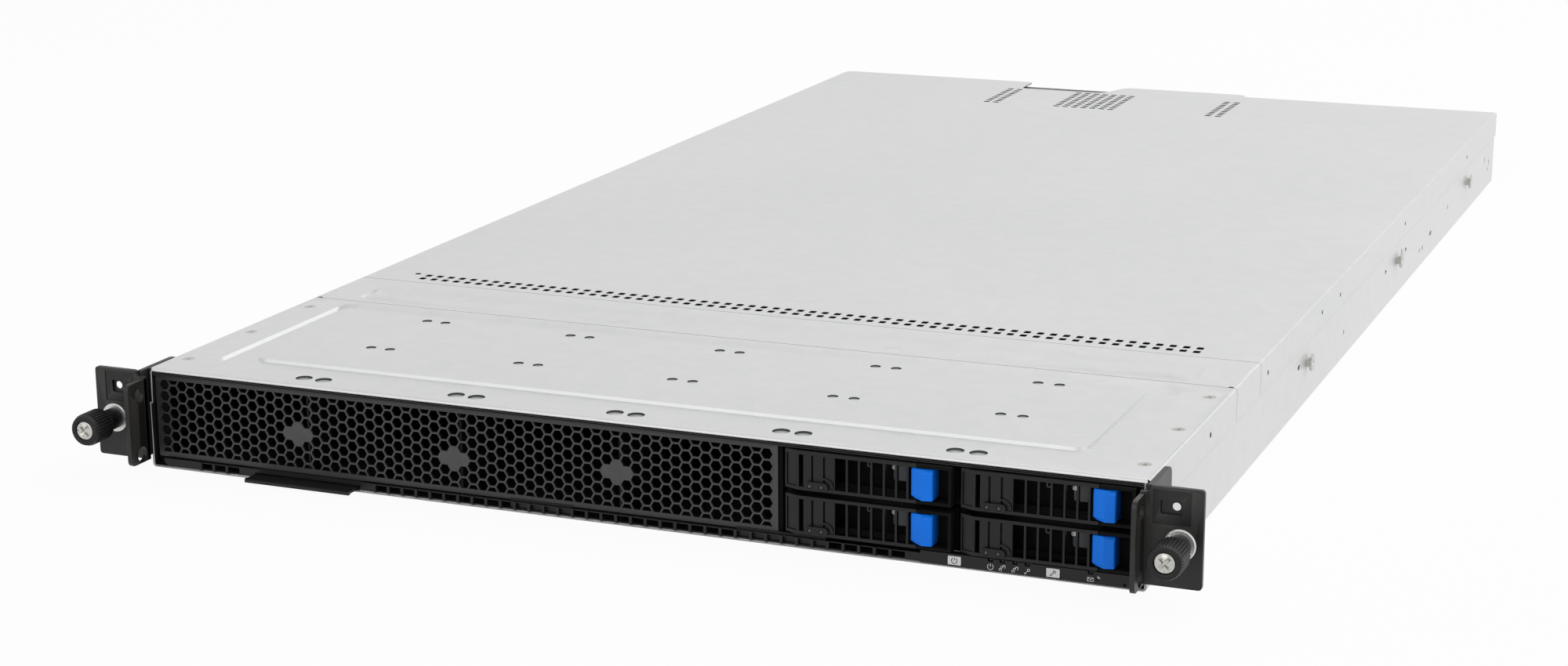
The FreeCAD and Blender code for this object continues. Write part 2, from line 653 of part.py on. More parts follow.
def ferrule():
    """Pressed-in ferrule: rim on the ear's face and a collar through the ear."""
    rim = bar_y(SCREW_X, RIM_Y, SCREW_Z, FERRULE_R, FERRULE_RIM, ROUND_SIDES)
    collar = bar_y(SCREW_X, -EAR_SHEET, SCREW_Z, COLLAR_R, EAR_SHEET + FERRULE_REAR, ROUND_SIDES, True)
    return joined(rim, collar).cut(screw_bore(RIM_Y, FERRULE_REAR - RIM_Y))


def guide_barrel():
    """Dark barrel standing on the ferrule, over which the knob slides."""
    barrel = bar_y(SCREW_X, BARREL_Y, SCREW_Z, BARREL_R, BARREL_LENGTH, ROUND_SIDES)
    return barrel.cut(screw_bore(BARREL_Y, BARREL_LENGTH))


def knob():
    """Fluted thumb knob, hollow at the rear for the barrel and stepped at the front for the screw."""
    points = []
    for i in range(KNOB_FLUTES):
        for step, radius in ((0.0, KNOB_R), (0.5, KNOB_R - KNOB_FLUTE_DEPTH)):
            angle = 2 * math.pi * (i + step) / KNOB_FLUTES
            points.append((SCREW_X + radius * math.cos(angle), SCREW_Z + radius * math.sin(angle)))
    body = extrude_y(points, KNOB_Y0 + KNOB_RIM, KNOB_Y1)
    body = body.common(rod(SCREW_X, KNOB_Y0, SCREW_Z, KNOB_R - KNOB_LAND, KNOB_LENGTH))
    rim = bar_y(SCREW_X, KNOB_Y0, SCREW_Z, KNOB_R - KNOB_FLUTE_DEPTH, 2 * KNOB_RIM, KNOB_FLUTES)
    cup_y = BARREL_Y - SCREW_TRAVEL - GAP
    cup = bar_y(SCREW_X, cup_y, SCREW_Z, BARREL_R + GAP, KNOB_LENGTH + SCREW_TRAVEL, ROUND_SIDES, True)
    hole = bar_y(SCREW_X, KNOB_Y0, SCREW_Z, SCREW_R, KNOB_LENGTH, ROUND_SIDES)
    seat = bar_y(SCREW_X, KNOB_Y0, SCREW_Z, SCREW_HEAD_R, SCREW_HEAD_T, ROUND_SIDES)
    return joined(body, rim).cut(seat).cut(hole).cut(cup)


def captive_screw():
    """Panel screw with a flat head flush in the knob and its tip behind the ear."""
    head = bar_y(SCREW_X, KNOB_Y0, SCREW_Z, SCREW_HEAD_R, SCREW_HEAD_T, ROUND_SIDES)
    shank_y = KNOB_Y0 + SCREW_HEAD_T
    shank = bar_y(SCREW_X, shank_y, SCREW_Z, SCREW_R, SCREW_TIP_Y - shank_y, ROUND_SIDES)
    return joined(head, shank)


def screw_clip():
    """Retaining clip on the screw behind the ferrule."""
    clip = bar_y(SCREW_X, CLIP_Y, SCREW_Z, CLIP_R, CLIP_T, FASTENER_SIDES)
    return clip.cut(screw_bore(CLIP_Y, CLIP_T))


# ---- front ------------------------------------------------------------------------------------

def front_frame():
    """Dark front frame: ridged top rail, end posts and the post beside the trays."""
    back = STRIP_Y + FRAME_DEPTH
    groove_y = STRIP_Y + RAIL_GROOVE
    rail = extrude_x([(STRIP_Y, RAIL_Z1), (STRIP_Y, RAIL_Z1 - RAIL_GROOVE), (groove_y, RAIL_Z1 - RAIL_GROOVE),
                      (groove_y, RAIL_Z0 + RAIL_GROOVE), (STRIP_Y, RAIL_Z0 + RAIL_GROOVE), (STRIP_Y, RAIL_Z0),
                      (back, RAIL_Z0), (back, RAIL_Z1)], -INNER_X, INNER_X)
    y0 = GRILLE_Y + GRILLE_T
    left = box(-INNER_X, FIELD_X0 - WEB, y0, y0 + FRAME_DEPTH, SHEET, RAIL_Z0)
    lever_swing = HINGE_X - GAP / 2
    centre = box(GRILLE_X1 - 1, TRAY_X0 - lever_swing + GAP, y0, y0 + FRAME_DEPTH, SHEET, RAIL_Z0)
    carrier_end = TRAY_X0 + TRAY_PITCH - CARRIER_EDGE + DRIVE_W + 2 * CARRIER_SIDE
    right = box(carrier_end + GAP, INNER_X, STRIP_Y, back, SHEET, RAIL_Z0)
    return [rail, left, centre, right]


def cell(x, z, half_w, half_h):
    """Hexagonal cell with flat top and bottom, cut in half at the ends of the field."""
    y = GRILLE_Y
    above = [V(x + half_w / 2, y, z + half_h), V(x - half_w / 2, y, z + half_h)]
    below = [V(x - half_w / 2, y, z - half_h), V(x + half_w / 2, y, z - half_h)]
    right = V(x + half_w, y, z)
    left = V(x - half_w, y, z)
    if z - half_h < FIELD_Z0:
        return [right] + above + [left]
    if z + half_h > FIELD_Z1:
        return [left] + below + [right]
    return [right] + above + [left] + below


def in_blank(x, z):
    """Whether a cell's centre falls in one of the three plain diamonds."""
    middle = (FIELD_Z0 + FIELD_Z1) / 2 - WEB
    centres = [FIELD_X0 + place * (FIELD_X1 - FIELD_X0) for place in BLANK_PLACES]
    return any(abs(x - b) / BLANK_W + abs(z - middle) / BLANK_H < 0.5 for b in centres)


def honeycomb_grille():
    """Perforated front sheet: columns of hexagonal cells with a half cell at alternate ends."""
    pitch = (FIELD_Z1 - FIELD_Z0) / (CELL_ROWS + 0.5)
    half_h = (pitch - WEB) / 2
    half_w = half_h * CELL_STRETCH * 2 / math.sqrt(3)
    spans = 2 * round((FIELD_X1 - FIELD_X0) / (pitch * CELL_STRETCH * math.sqrt(3) / 2) / 2)
    step = (FIELD_X1 - FIELD_X0) / spans
    cells = []
    for column in range(spans + 1):
        x = FIELD_X0 + column * step
        low = FIELD_Z0 if column % 2 == 0 else FIELD_Z0 + pitch / 2
        for row in range(CELL_ROWS + 1):
            z = low + row * pitch
            if not in_blank(x, z):
                cells.append(cell(x, z, half_w, half_h))
    edge = [V(GRILLE_X0, GRILLE_Y, GRILLE_Z0), V(GRILLE_X1, GRILLE_Y, GRILLE_Z0),
            V(GRILLE_X1, GRILLE_Y, GRILLE_Z1), V(GRILLE_X0, GRILLE_Y, GRILLE_Z1)]
    return pierced(edge, cells, V(0, GRILLE_T, 0))


def vent_strip():
    """Low ribbed strip under the grille, standing on the chassis floor."""
    x1 = CONTROL_X0 - GAP
    edge = [V(STRIP_X0, STRIP_Y, SHEET), V(x1, STRIP_Y, SHEET), V(x1, STRIP_Y, STRIP_Z1), V(STRIP_X0, STRIP_Y, STRIP_Z1)]
    windows = []
    x = STRIP_X0 + STRIP_SOLID
    while x + RIB_PITCH < x1:
        end = x + RIB_PITCH - RIB_W
        if end < TAG_X0 - CHANNEL_WALL or x > TAG_X1 + CHANNEL_WALL:
            windows.append([V(x, STRIP_Y, SHEET + STRIP_RAIL), V(end, STRIP_Y, SHEET + STRIP_RAIL),
                            V(end, STRIP_Y, STRIP_Z1 - STRIP_RAIL), V(x, STRIP_Y, STRIP_Z1 - STRIP_RAIL)])
        x += RIB_PITCH
    strip = pierced(edge, windows, V(0, STRIP_T, 0))
    return strip.cut(tag_space(STRIP_Y - 1, STRIP_BACK + 1))


def tag_space(y0, y1):
    """Room that the pull-out tag runs in."""
    return box(TAG_X0 - GAP, TAG_X1 + GAP, y0, y1, TAG_Z0 - GAP, TAG_Z0 + TAG_T + GAP)


def tag_channel():
    """Outside of the channel that the pull-out tag slides in."""
    return box(TAG_X0 - CHANNEL_WALL, TAG_X1 + CHANNEL_WALL, STRIP_BACK, STRIP_BACK + TAG_LENGTH, SHEET, TAG_ROOF)


def tag_guide():
    """Channel on the floor that the pull-out tag slides in."""
    return tag_channel().cut(tag_space(STRIP_BACK, STRIP_BACK + TAG_LENGTH))


def asset_tag():
    """Pull-out information tag: a thin card with a thicker grip lip at the front."""
    card = box(TAG_X0, TAG_X1, TAG_Y0, TAG_Y0 + TAG_LENGTH, TAG_Z0, TAG_Z0 + TAG_T)
    grip = extrude_x([(TAG_Y0, TAG_Z0 - TAG_LIP), (TAG_Y0 + 1.2, TAG_Z0 - TAG_LIP),
                      (TAG_Y0 + 1.2, TAG_Z0 + TAG_T + TAG_LIP), (TAG_Y0, TAG_Z0 + TAG_T)], TAG_X0, TAG_X1)
    return joined(card, grip)


def control_strip():
    """Control panel block with openings for two buttons, the reset pin and the lamp windows."""
    block = box(CONTROL_X0, CONTROL_X1, CONTROL_Y0, CONTROL_Y1, SHEET, CONTROL_Z1)
    block = block.makeChamfer(0.5, corner_edges(block, 0, [(CONTROL_Y0, CONTROL_Z1)]))
    tools = []
    for inset in (POWER_IN, LOCATE_IN):
        x = CONTROL_X0 + inset
        tools.append(box(x - BUTTON_W / 2 - GAP, x + BUTTON_W / 2 + GAP, CONTROL_Y0 - 1, CONTROL_Y1 + 1,
                         BUTTON_Z - BUTTON_H / 2 - GAP, BUTTON_Z + BUTTON_H / 2 + GAP))
    tools.append(bar_y(CONTROL_X0 + RESET_IN, CONTROL_Y0 - 1, BUTTON_Z, RESET_HOLE_R,
                       CONTROL_Y1 - CONTROL_Y0 + 2, FASTENER_SIDES, True))
    for lamp in lamp_windows():
        tools.append(lamp)
    return cut_all(block, tools)


def lamp_windows():
    """Lamp windows set flush in the control panel."""
    half = LAMP_SIZE / 2
    return [box(CONTROL_X0 + inset - half, CONTROL_X0 + inset + half, CONTROL_Y0, CONTROL_Y0 + 1,
                BUTTON_Z - half, BUTTON_Z + half) for inset in LAMP_INS]


def push_button(inset):
    """Push button with a wider foot behind the panel."""
    x = CONTROL_X0 + inset
    half_w = BUTTON_W / 2
    half_h = BUTTON_H / 2
    y1 = CONTROL_Y1 + GAP
    cap = box(x - half_w, x + half_w, CONTROL_Y0 - BUTTON_PROUD, y1, BUTTON_Z - half_h, BUTTON_Z + half_h)
    foot = box(x - half_w - 1, x + half_w + 1, y1, y1 + BUTTON_FOOT, BUTTON_Z - half_h - 0.6, BUTTON_Z + half_h + 0.6)
    return joined(cap, foot)


def reset_button():
    """Recessed reset plunger behind its pinhole."""
    x = CONTROL_X0 + RESET_IN
    y0 = CONTROL_Y0 + RESET_DEEP
    y1 = CONTROL_Y1 + GAP
    pin = bar_y(x, y0, BUTTON_Z, RESET_HOLE_R - FIT, y1 - y0, FASTENER_SIDES)
    foot = box(x - 1.5, x + 1.5, y1, y1 + BUTTON_FOOT, BUTTON_Z - 1.5, BUTTON_Z + 1.5)
    return joined(pin, foot)


# ---- drive bays -------------------------------------------------------------------------------

def tray_bezel(x, z):
    """Fixed right part of a tray front: a C frame round the latch, tied back to the carrier."""
    x0 = x + LEVER_W + 0.5
    x1 = x + TRAY_W
    frame = box(x0, x1, TRAY_Y, CARRIER_FRONT_Y, z, z + TRAY_H)
    return frame.cut(box(x0 - 1, x1 - BAR, TRAY_Y - 1, CARRIER_FRONT_Y + 1, z + BAR, z + TRAY_H - BAR))


def tray_carrier(x, z):
    """Front wall with a window, two side rails, the hinge lugs and the fixed end of the front."""
    x0 = x - CARRIER_EDGE
    x1 = x0 + DRIVE_W + 2 * CARRIER_SIDE
    y0 = CARRIER_FRONT_Y
    hinge = x + HINGE_X
    wall = box(x0, x1, y0, y0 + BAR, z, z + TRAY_H)
    wall = wall.cut(box(hinge + 3 * KNUCKLE_R, x + LATCH_IN - BAR, y0 - 1, y0 + 2, z + 2 * BAR, z + TRAY_H - 2 * BAR))
    top = z + TRAY_H - DRIVE_DROP
    rails = [box(x0, x0 + CARRIER_SIDE, y0, y0 + CARRIER_LENGTH, z + DRIVE_DROP / 2, top),
             box(x1 - CARRIER_SIDE, x1, y0, y0 + CARRIER_LENGTH, z + DRIVE_DROP / 2, top)]
    lugs = []
    for low in (z, z + TRAY_H - BAR):
        lug = joined(bar_z(hinge, HINGE_Y, low, LUG_R, BAR, FASTENER_SIDES),
                     box(hinge - 1, hinge + 1, HINGE_Y, y0, low, low + BAR))
        lugs.append(lug.cut(bar_z(hinge, HINGE_Y, low, HINGE_PIN_R + FIT, BAR, FASTENER_SIDES, True)))
    return joined(wall, tray_bezel(x, z), *(rails + lugs))


def tray_drive(x, z):
    """Drive between the carrier's rails."""
    x0 = x - CARRIER_EDGE + CARRIER_SIDE
    y0 = CARRIER_FRONT_Y + DRIVE_SET
    return box(x0, x0 + DRIVE_W, y0, y0 + DRIVE_L, z + DRIVE_DROP / 2, z + DRIVE_DROP / 2 + DRIVE_H)


def tray_lever(x, z):
    """Swing-out lever: barred front plate with a swept end, lamp housing, knuckle and pins."""
    y = TRAY_Y
    back = y + LEVER_T
    hinge = x + HINGE_X
    plan = [(x, y + LEVER_SWEEP_Y), (x + LEVER_SWEEP_X, y), (x + LEVER_W, y), (x + LEVER_W, back),
            (x + LEVER_SWEEP_X + 0.4, back), (x + 0.8, back + LEVER_SWEEP_Y)]
    plate = extrude_z(plan, z, z + TRAY_H)
    pill_top = z + PILL_Z + PILL_H
    bars_top = z + TRAY_H - BAR
    tools = [box(x + SLOT_1_IN, x + SLOT_1_IN + SLOT_1_W, y - 1, back + 1, z + BAR, bars_top)]
    for inset in (SLOT_2_IN, SLOT_3_IN):
        tools.append(box(x + inset, x + inset + SLOT_2_W, y - 1, back + 1, pill_top + 0.5, bars_top))
    for i in range(GRID_CELLS):
        left = x + GRID_IN + i * GRID_PITCH
        tools.append(box(left, left + GRID_PITCH - GRID_RIB, y - 1, back + 1, z + BAR, bars_top))
    end = x + GRID_IN + GRID_CELLS * GRID_PITCH
    tools.append(box(end, x + LEVER_W + 1, y - 1, back + 1, z + BAR, bars_top))
    plate = cut_all(plate, tools)
    pill_x = x + PILL_IN
    pill = box(pill_x, pill_x + PILL_W, y - PILL_PROUD, y + 0.5, z + PILL_Z, pill_top)
    pill = pill.makeChamfer(1.2, corner_edges(pill, 1, [(pill_x, pill_top), (pill_x + PILL_W, pill_top)]))
    low = z + BAR + GAP
    high = z + TRAY_H - BAR - GAP
    arm = extrude_z([(x + 1.6, back + 0.4), (x + 5.4, back - 0.6), (hinge + 1.0, HINGE_Y), (hinge - 1.0, HINGE_Y)],
                    low, high)
    knuckle = Part.makeCylinder(KNUCKLE_R, high - low, V(hinge, HINGE_Y, low))
    knuckle = knuckle.common(box(hinge - KNUCKLE_R, hinge + KNUCKLE_R, HINGE_Y, HINGE_Y + KNUCKLE_R, low, high))
    pins = bar_z(hinge, HINGE_Y, z, HINGE_PIN_R, TRAY_H, FASTENER_SIDES)
    return joined(plate, pill, arm, knuckle, pins)


def tray_latch(x, z):
    """Release latch: a faceted grip that slides sideways inside the tray front's fixed end."""
    x0 = x + LATCH_IN
    x1 = x0 + LATCH_W
    y = TRAY_Y - LATCH_PROUD
    back = CARRIER_FRONT_Y - GAP
    plan = [(x0, y + 2.4), (x0 + 1.6, y + 0.9), (x0 + 4.4, y), (x1 - 0.6, y + 0.7), (x1, y + 1.6),
            (x1, back), (x0 + 2.0, back), (x0 + 2.0, y + 4.0), (x0, y + 4.0)]
    top = z + TRAY_H - BAR - LATCH_PLAY
    grip = extrude_z(plan, z + BAR + LATCH_PLAY, top)
    scoop = extrude_x([(y - 1, top - 0.9), (y + 2.6, top - 0.9), (y + 4.0, top + 1), (y - 1, top + 1)],
                      x0 + 4.4, x1 + 1)
    return grip.cut(scoop)


def drive_cage():
    """Cage of the drive bays: left and centre walls, floor plate, shelf and top plate."""
    x0 = TRAY_X0 - CARRIER_EDGE - GAP - CAGE_SHEET
    y0 = CARRIER_FRONT_Y + 2.0
    y1 = BACKPLANE_Y
    left = box(x0, x0 + CAGE_SHEET, y0, y1, SHEET, CAGE_TOP)
    centre = box(BAY_WALL_X, BAY_WALL_X + CAGE_SHEET, y0, y1, SHEET, CAGE_TOP)
    plates = []
    for top in (TRAY_ZS[0] - GAP, TRAY_ZS[1] - 2 * GAP, CAGE_TOP):
        plates.append(box(x0, INNER_X, y0, y1, top - CAGE_SHELF, top))
    return joined(left, centre, *plates)


def bay_dividers():
    """Upright partitions behind the grille, each with a foot on the floor."""
    pieces = []
    first = TRAY_X0 - DIVIDER_PITCH - DIVIDER_T
    y0 = GRILLE_Y + GRILLE_T
    for i in range(3):
        x = first - i * DIVIDER_PITCH
        wall = box(x, x + DIVIDER_T, y0, BACKPLANE_Y, SHEET, RAIL_Z0)
        foot = box(x, x + DIVIDER_FOOT, y0 + DIVIDER_FOOT, BACKPLANE_Y, SHEET, 2 * SHEET)
        pieces.append(joined(wall, foot).cut(tag_channel()))
    return pieces


def drive_backplane():
    """Backplane board behind the drive bays with one connector for each drive."""
    pieces = [box(TRAY_X0, INNER_X, BACKPLANE_Y, BACKPLANE_Y + BOARD_T, SHEET, CAGE_TOP)]
    drive_end = CARRIER_FRONT_Y + DRIVE_SET + DRIVE_L
    for column in range(2):
        for z in TRAY_ZS:
            x = TRAY_X0 + column * TRAY_PITCH + DRIVE_W / 4
            pieces.append(box(x, x + DRIVE_W / 2, drive_end + GAP, BACKPLANE_Y, z + 2.0, z + 8.0))
    return joined(*pieces)


# ---- inside -----------------------------------------------------------------------------------

def fan_centres():
    """X of each fan, spread evenly over the chassis width."""
    pitch = 2 * INNER_X / FAN_COUNT
    return [(i - (FAN_COUNT - 1) / 2) * pitch for i in range(FAN_COUNT)]


def fan_frames():
    """Square fan housings with a round duct and a rear strut that holds the motor."""
    centre_z = SHEET + FAN_SIZE / 2
    frames = []
    for x in fan_centres():
        frame = box(x - FAN_SIZE / 2, x + FAN_SIZE / 2, FAN_Y, FAN_Y + FAN_DEPTH, SHEET, SHEET + FAN_SIZE)
        frame = frame.cut(bar_y(x, FAN_Y - 1, centre_z, FAN_BORE_R, FAN_DEPTH + 2, FAN_SIDES))
        rear = FAN_Y + FAN_DEPTH
        strut = box(x - FAN_STRUT, x + FAN_STRUT, rear - FAN_STRUT, rear, SHEET + FAN_WALL / 2,
                    SHEET + FAN_SIZE - FAN_WALL / 2)
        frames.append(joined(frame, strut))
    return frames


def rotor(x, y, z, radius, hub, depth, turned=False):
    """Fan rotor: a hub with a flat under each pitched blade, its corners turned off or left."""
    body = extrude_y(sides_of(x, z, hub, BLADES, True), y, y + depth)
    if turned:
        body = body.common(rod(x, y, z, hub * HUB_TURNED, depth))
    chord = depth * 0.42
    for k in range(BLADES):
        blade = box(hub * 0.8, radius, -chord, chord, -BLADE_T / 2, BLADE_T / 2)
        blade.rotate(V(0, 0, 0), V(1, 0, 0), BLADE_PITCH)
        blade.rotate(V(0, 0, 0), V(0, 1, 0), 360.0 * k / BLADES)
        blade.translate(V(x, y + depth / 2, z))
        body = body.fuse(blade)
    return body.removeSplitter()


def blade_reach(bore, depth):
    """Radius at which a pitched blade's corners still clear the bore."""
    half_width = depth * 0.42 * math.sin(math.radians(BLADE_PITCH)) + BLADE_T
    clear = bore * math.cos(math.pi / FAN_SIDES) - 2 * GAP
    return math.sqrt(clear ** 2 - half_width ** 2)


def fan_rotors():
    """Rotors of the chassis fans, each held at its hub on the housing's strut."""
    depth = FAN_DEPTH - FAN_STRUT - 2.0
    reach = blade_reach(FAN_BORE_R, depth)
    return [rotor(x, FAN_Y + 2.0, SHEET + FAN_SIZE / 2, reach, HUB_R, depth) for x in fan_centres()]


def system_board():
    """L-shaped main board on standoffs, with processor sockets."""
    side = INNER_X - BOARD_SIDE
    right = PSU_X0 - PSU_PLAY - PSU_DIVIDER - BOARD_SIDE
    step_y = PSU_Y0 - POWER_BOARD_GAP - BOARD_T - BOARD_REAR
    board = extrude_z([(-side, BOARD_Y0), (side, BOARD_Y0), (side, step_y), (right, step_y),
                       (right, BOARD_Y1), (-side, BOARD_Y1)], BOARD_Z, BOARD_TOP)
    sockets = [box(x - SINK_W / 3, x + SINK_W / 3, SINK_Y + 15, SINK_Y + SINK_L - 15, BOARD_TOP, BOARD_TOP + SOCKET_H)
               for x in (-SINK_SPREAD, SINK_SPREAD)]
    edge = 4 * STANDOFF_R
    standoffs = []
    for x, y in ((-side + edge, BOARD_Y0 + edge), (0, BOARD_Y0 + edge), (side - edge, BOARD_Y0 + edge),
                 (-side + edge, step_y - edge), (side - edge, step_y - edge),
                 (-side + edge, BOARD_Y1 - edge), (right - edge, BOARD_Y1 - edge)):
        standoffs.append(bar_z(x, y, SHEET, STANDOFF_R, BOARD_Z - SHEET, 6))
    return joined(board, *(sockets + standoffs))


def heatsinks():
    """Finned heat sinks on the two processors, fins along the air flow."""
    sinks = []
    base = BOARD_TOP + SOCKET_H
    step = (SINK_W - FIN_T) / (SINK_FINS - 1)
    for x in (-SINK_SPREAD, SINK_SPREAD):
        left = x - SINK_W / 2
        points = [(left, base), (left + SINK_W, base)]
        for i in reversed(range(SINK_FINS)):
            fin = left + i * step
            points.append((fin + FIN_T, base + SINK_H))
            points.append((fin, base + SINK_H))
            if i > 0:
                points.append((fin, base + SINK_BASE))
                points.append((fin - step + FIN_T, base + SINK_BASE))
        sinks.append(extrude_y(points, SINK_Y, SINK_Y + SINK_L))
    return sinks


def memory_modules():
    """Memory modules standing in rows beside the processors."""
    modules = []
    y0 = SINK_Y + (SINK_L - DIMM_L) / 2
    for centre in (-DIMM_SPREAD, 0, DIMM_SPREAD):
        for i in range(DIMM_COUNT):
            x = centre + (i - (DIMM_COUNT - 1) / 2) * DIMM_PITCH
            modules.append(box(x - DIMM_T / 2, x + DIMM_T / 2, y0, y0 + DIMM_L, BOARD_TOP, BOARD_TOP + DIMM_H))
    return modules


def air_duct():
    """Air shroud over the processors and memory, standing on the main board."""
    x1 = HALF - DUCT_IN
    y1 = DUCT_Y0 + DUCT_L
    roof = DUCT_Z + DUCT_T
    points = [(-x1, BOARD_TOP), (-x1 + DUCT_T, BOARD_TOP), (-x1 + DUCT_T, DUCT_Z), (x1 - DUCT_T, DUCT_Z),
              (x1 - DUCT_T, BOARD_TOP), (x1, BOARD_TOP), (x1, roof), (-x1, roof)]
    return extrude_y(points, DUCT_Y0, y1)


def riser_cards():
    """Upright riser boards in their sockets, with an edge slot each."""
    cards = []
    y0 = BOARD_Y1 - RISER_L - BOARD_REAR
    foot = BOARD_TOP + RISER_SOCKET
    for x in RISER_XS:
        socket = box(x - 3, x + 5, y0 - 4, y0 + RISER_L + 4, BOARD_TOP, foot)
        card = box(x, x + BOARD_T, y0, y0 + RISER_L, foot, foot + RISER_H)
        slot = box(x + BOARD_T, x + BOARD_T + 9, y0 + 20, y0 + RISER_L - 30, foot + 11, foot + 18)
        cards.append(joined(socket, card, slot))
    return cards


# ---- rear -------------------------------------------------------------------------------------

def psu_x(index):
    """Left side of a power supply."""
    return PSU_X0 + index * PSU_STEP


def card_openings():
    """X and Z limits of the two card openings and the mezzanine opening."""
    bay = psu_x(0) - PSU_PLAY - PSU_DIVIDER
    return [(-HALF + CARD_1_IN, -HALF + CARD_1_IN + CARD_1_W, CARD_Z, CARD_Z + CARD_H),
            (bay - CARD_2_OUT - CARD_2_W, bay - CARD_2_OUT, CARD_Z, CARD_Z + CARD_H),
            (-HALF + MEZZ_IN, -HALF + MEZZ_IN + MEZZ_W, MEZZ_Z, MEZZ_Z + MEZZ_H)]


def rear_panel():
    """Rear wall with card, port and power supply openings, and the power supply bay's walls."""
    y0 = REAR_WALL_Y - SHEET
    y1 = REAR_WALL_Y
    wall = box(-INNER_X, INNER_X, y0, y1, SHEET, WALL_TOP_Z)
    tools = [box(a, b, y0 - 5, y1 + 5, c, d) for a, b, c, d in card_openings()]
    for inset, half_w, height in ((USB_1_IN, 7.0, 7.6), (USB_2_IN, 7.0, 7.6), (NET_IN, 8.2, 13.8),
                                  (DISPLAY_IN, 15.5, 12.5)):
        x = -HALF + inset
        tools.append(box(x - half_w, x + half_w, y0 - 5, y1 + 5, BOARD_TOP, BOARD_TOP + height))
    top = PSU_Z + PSU_H + PSU_PLAY
    for index in range(2):
        left = psu_x(index) - PSU_PLAY
        tools.append(box(left, left + PSU_W + 2 * PSU_PLAY, y0 - 5, y1 + 5, SHEET, top))
    wall = cut_all(wall, tools)
    sides = []
    for x in (psu_x(0) - PSU_PLAY - PSU_DIVIDER, psu_x(1) - PSU_PLAY - PSU_DIVIDER, psu_x(1) + PSU_W + PSU_PLAY):
        sides.append(box(x, x + PSU_DIVIDER, PSU_Y0, y1, SHEET, top))
    return joined(wall, *sides)


def slot_covers():
    """Blanking plates behind the card openings, with vent slots."""
    covers = []
    y0 = REAR_WALL_Y - 2 * SHEET
    for a, b, c, d in card_openings():
        a, b, c, d = a - COVER_EDGE, b + COVER_EDGE, c - COVER_EDGE, d + COVER_EDGE
        holes = []
        x = a + 2 * COVER_EDGE
        while x + COVER_VENT_W + COVER_EDGE < b:
            end = x + COVER_VENT_W
            holes.append([V(x, y0, c + 4), V(end, y0, c + 4), V(end, y0, d - 4), V(x, y0, d - 4)])
            x += COVER_VENT_PITCH
        covers.append(pierced([V(a, y0, c), V(b, y0, c), V(b, y0, d), V(a, y0, d)], holes, V(0, SHEET, 0)))
    return covers


def rear_ports():
    """Port shells on the main board: network, two serial bus sockets and a display plug."""
    y0 = BOARD_Y1 - 8.0
    y1 = REAR_WALL_Y + 0.8
    x = -HALF + NET_IN
    net = box(x - 7.9, x + 7.9, y0, y1, BOARD_TOP, BOARD_TOP + 13.4)
    shells = [net.cut(box(x - 5.9, x + 5.9, y1 - 12.0, y1 + 1, BOARD_TOP + 2.4, BOARD_TOP + 10.4))]
    for inset in (USB_1_IN, USB_2_IN):
        x = -HALF + inset
        shell = box(x - 6.7, x + 6.7, y0, y1, BOARD_TOP, BOARD_TOP + 7.2)
        shells.append(shell.cut(box(x - 6.1, x + 6.1, y1 - 10.0, y1 + 1, BOARD_TOP + 1.0, BOARD_TOP + 6.2)))
    x = -HALF + DISPLAY_IN
    body = box(x - 15.0, x + 15.0, y0, y1 - 1.5, BOARD_TOP, BOARD_TOP + 12.0)
    shroud = extrude_y([(x - 7.4, BOARD_TOP + 2.0), (x + 7.4, BOARD_TOP + 2.0), (x + 8.4, BOARD_TOP + 10.0),
                        (x - 8.4, BOARD_TOP + 10.0)], y1 - 1.5, y1 + 4.0)
    shells.append(joined(body, shroud))
    return shells


def power_board():
    """Upright board in front of the power supplies with their mating connectors."""
    y1 = PSU_Y0 - POWER_BOARD_GAP
    board = box(PSU_X0, psu_x(1) + PSU_W, y1 - BOARD_T, y1, SHEET, PSU_Z + PSU_H)
    blocks = [box(psu_x(i) + PSU_W / 5, psu_x(i) + PSU_W * 4 / 5, y1, PSU_Y0 - GAP, 10.0, 20.0) for i in range(2)]
    return joined(board, *blocks)


def power_supply(index):
    """Power supply: closed case with a guarded fan duct and a mains inlet in its rear face."""
    x = psu_x(index)
    z = PSU_Z
    case = box(x, x + PSU_W, PSU_Y0, PSU_Y1, z, z + PSU_H)
    fan_x = x + PSU_FAN_X
    fan_z = z + PSU_H / 2
    inlet_x = x + INLET_X
    inlet_z = z + INLET_Z
    inlet_y = PSU_Y1 - INLET_DEPTH
    tools = [bar_y(fan_x, PSU_Y1 - PSU_FAN_DEPTH, fan_z, PSU_FAN_R, PSU_FAN_DEPTH + 1, ROUND_SIDES, True),
             box(inlet_x - INLET_W / 2, inlet_x + INLET_W / 2, inlet_y, PSU_Y1 + 1,
                 inlet_z - INLET_H / 2, inlet_z + INLET_H / 2)]
    case = cut_all(case, tools)
    guard_y = PSU_Y1 - PSU_GUARD
    reach = PSU_FAN_R + 0.5
    guards = [box(fan_x - reach, fan_x + reach, guard_y, PSU_Y1, fan_z + offset - 0.6, fan_z + offset + 0.6)
              for offset in (-PSU_FAN_R / 2, PSU_FAN_R / 2)]
    guards.append(box(fan_x - 0.6, fan_x + 0.6, guard_y, PSU_Y1, fan_z - reach, fan_z + reach))
    pins = [box(inlet_x + dx - 1.0, inlet_x + dx + 1.0, inlet_y - 1, PSU_Y1 - INLET_PIN_SHORT,
                inlet_z + dz - 2.0, inlet_z + dz + 2.0) for dx, dz in ((-7.0, -3.0), (7.0, -3.0), (0.0, 1.0))]
    return joined(case, *(guards + pins))


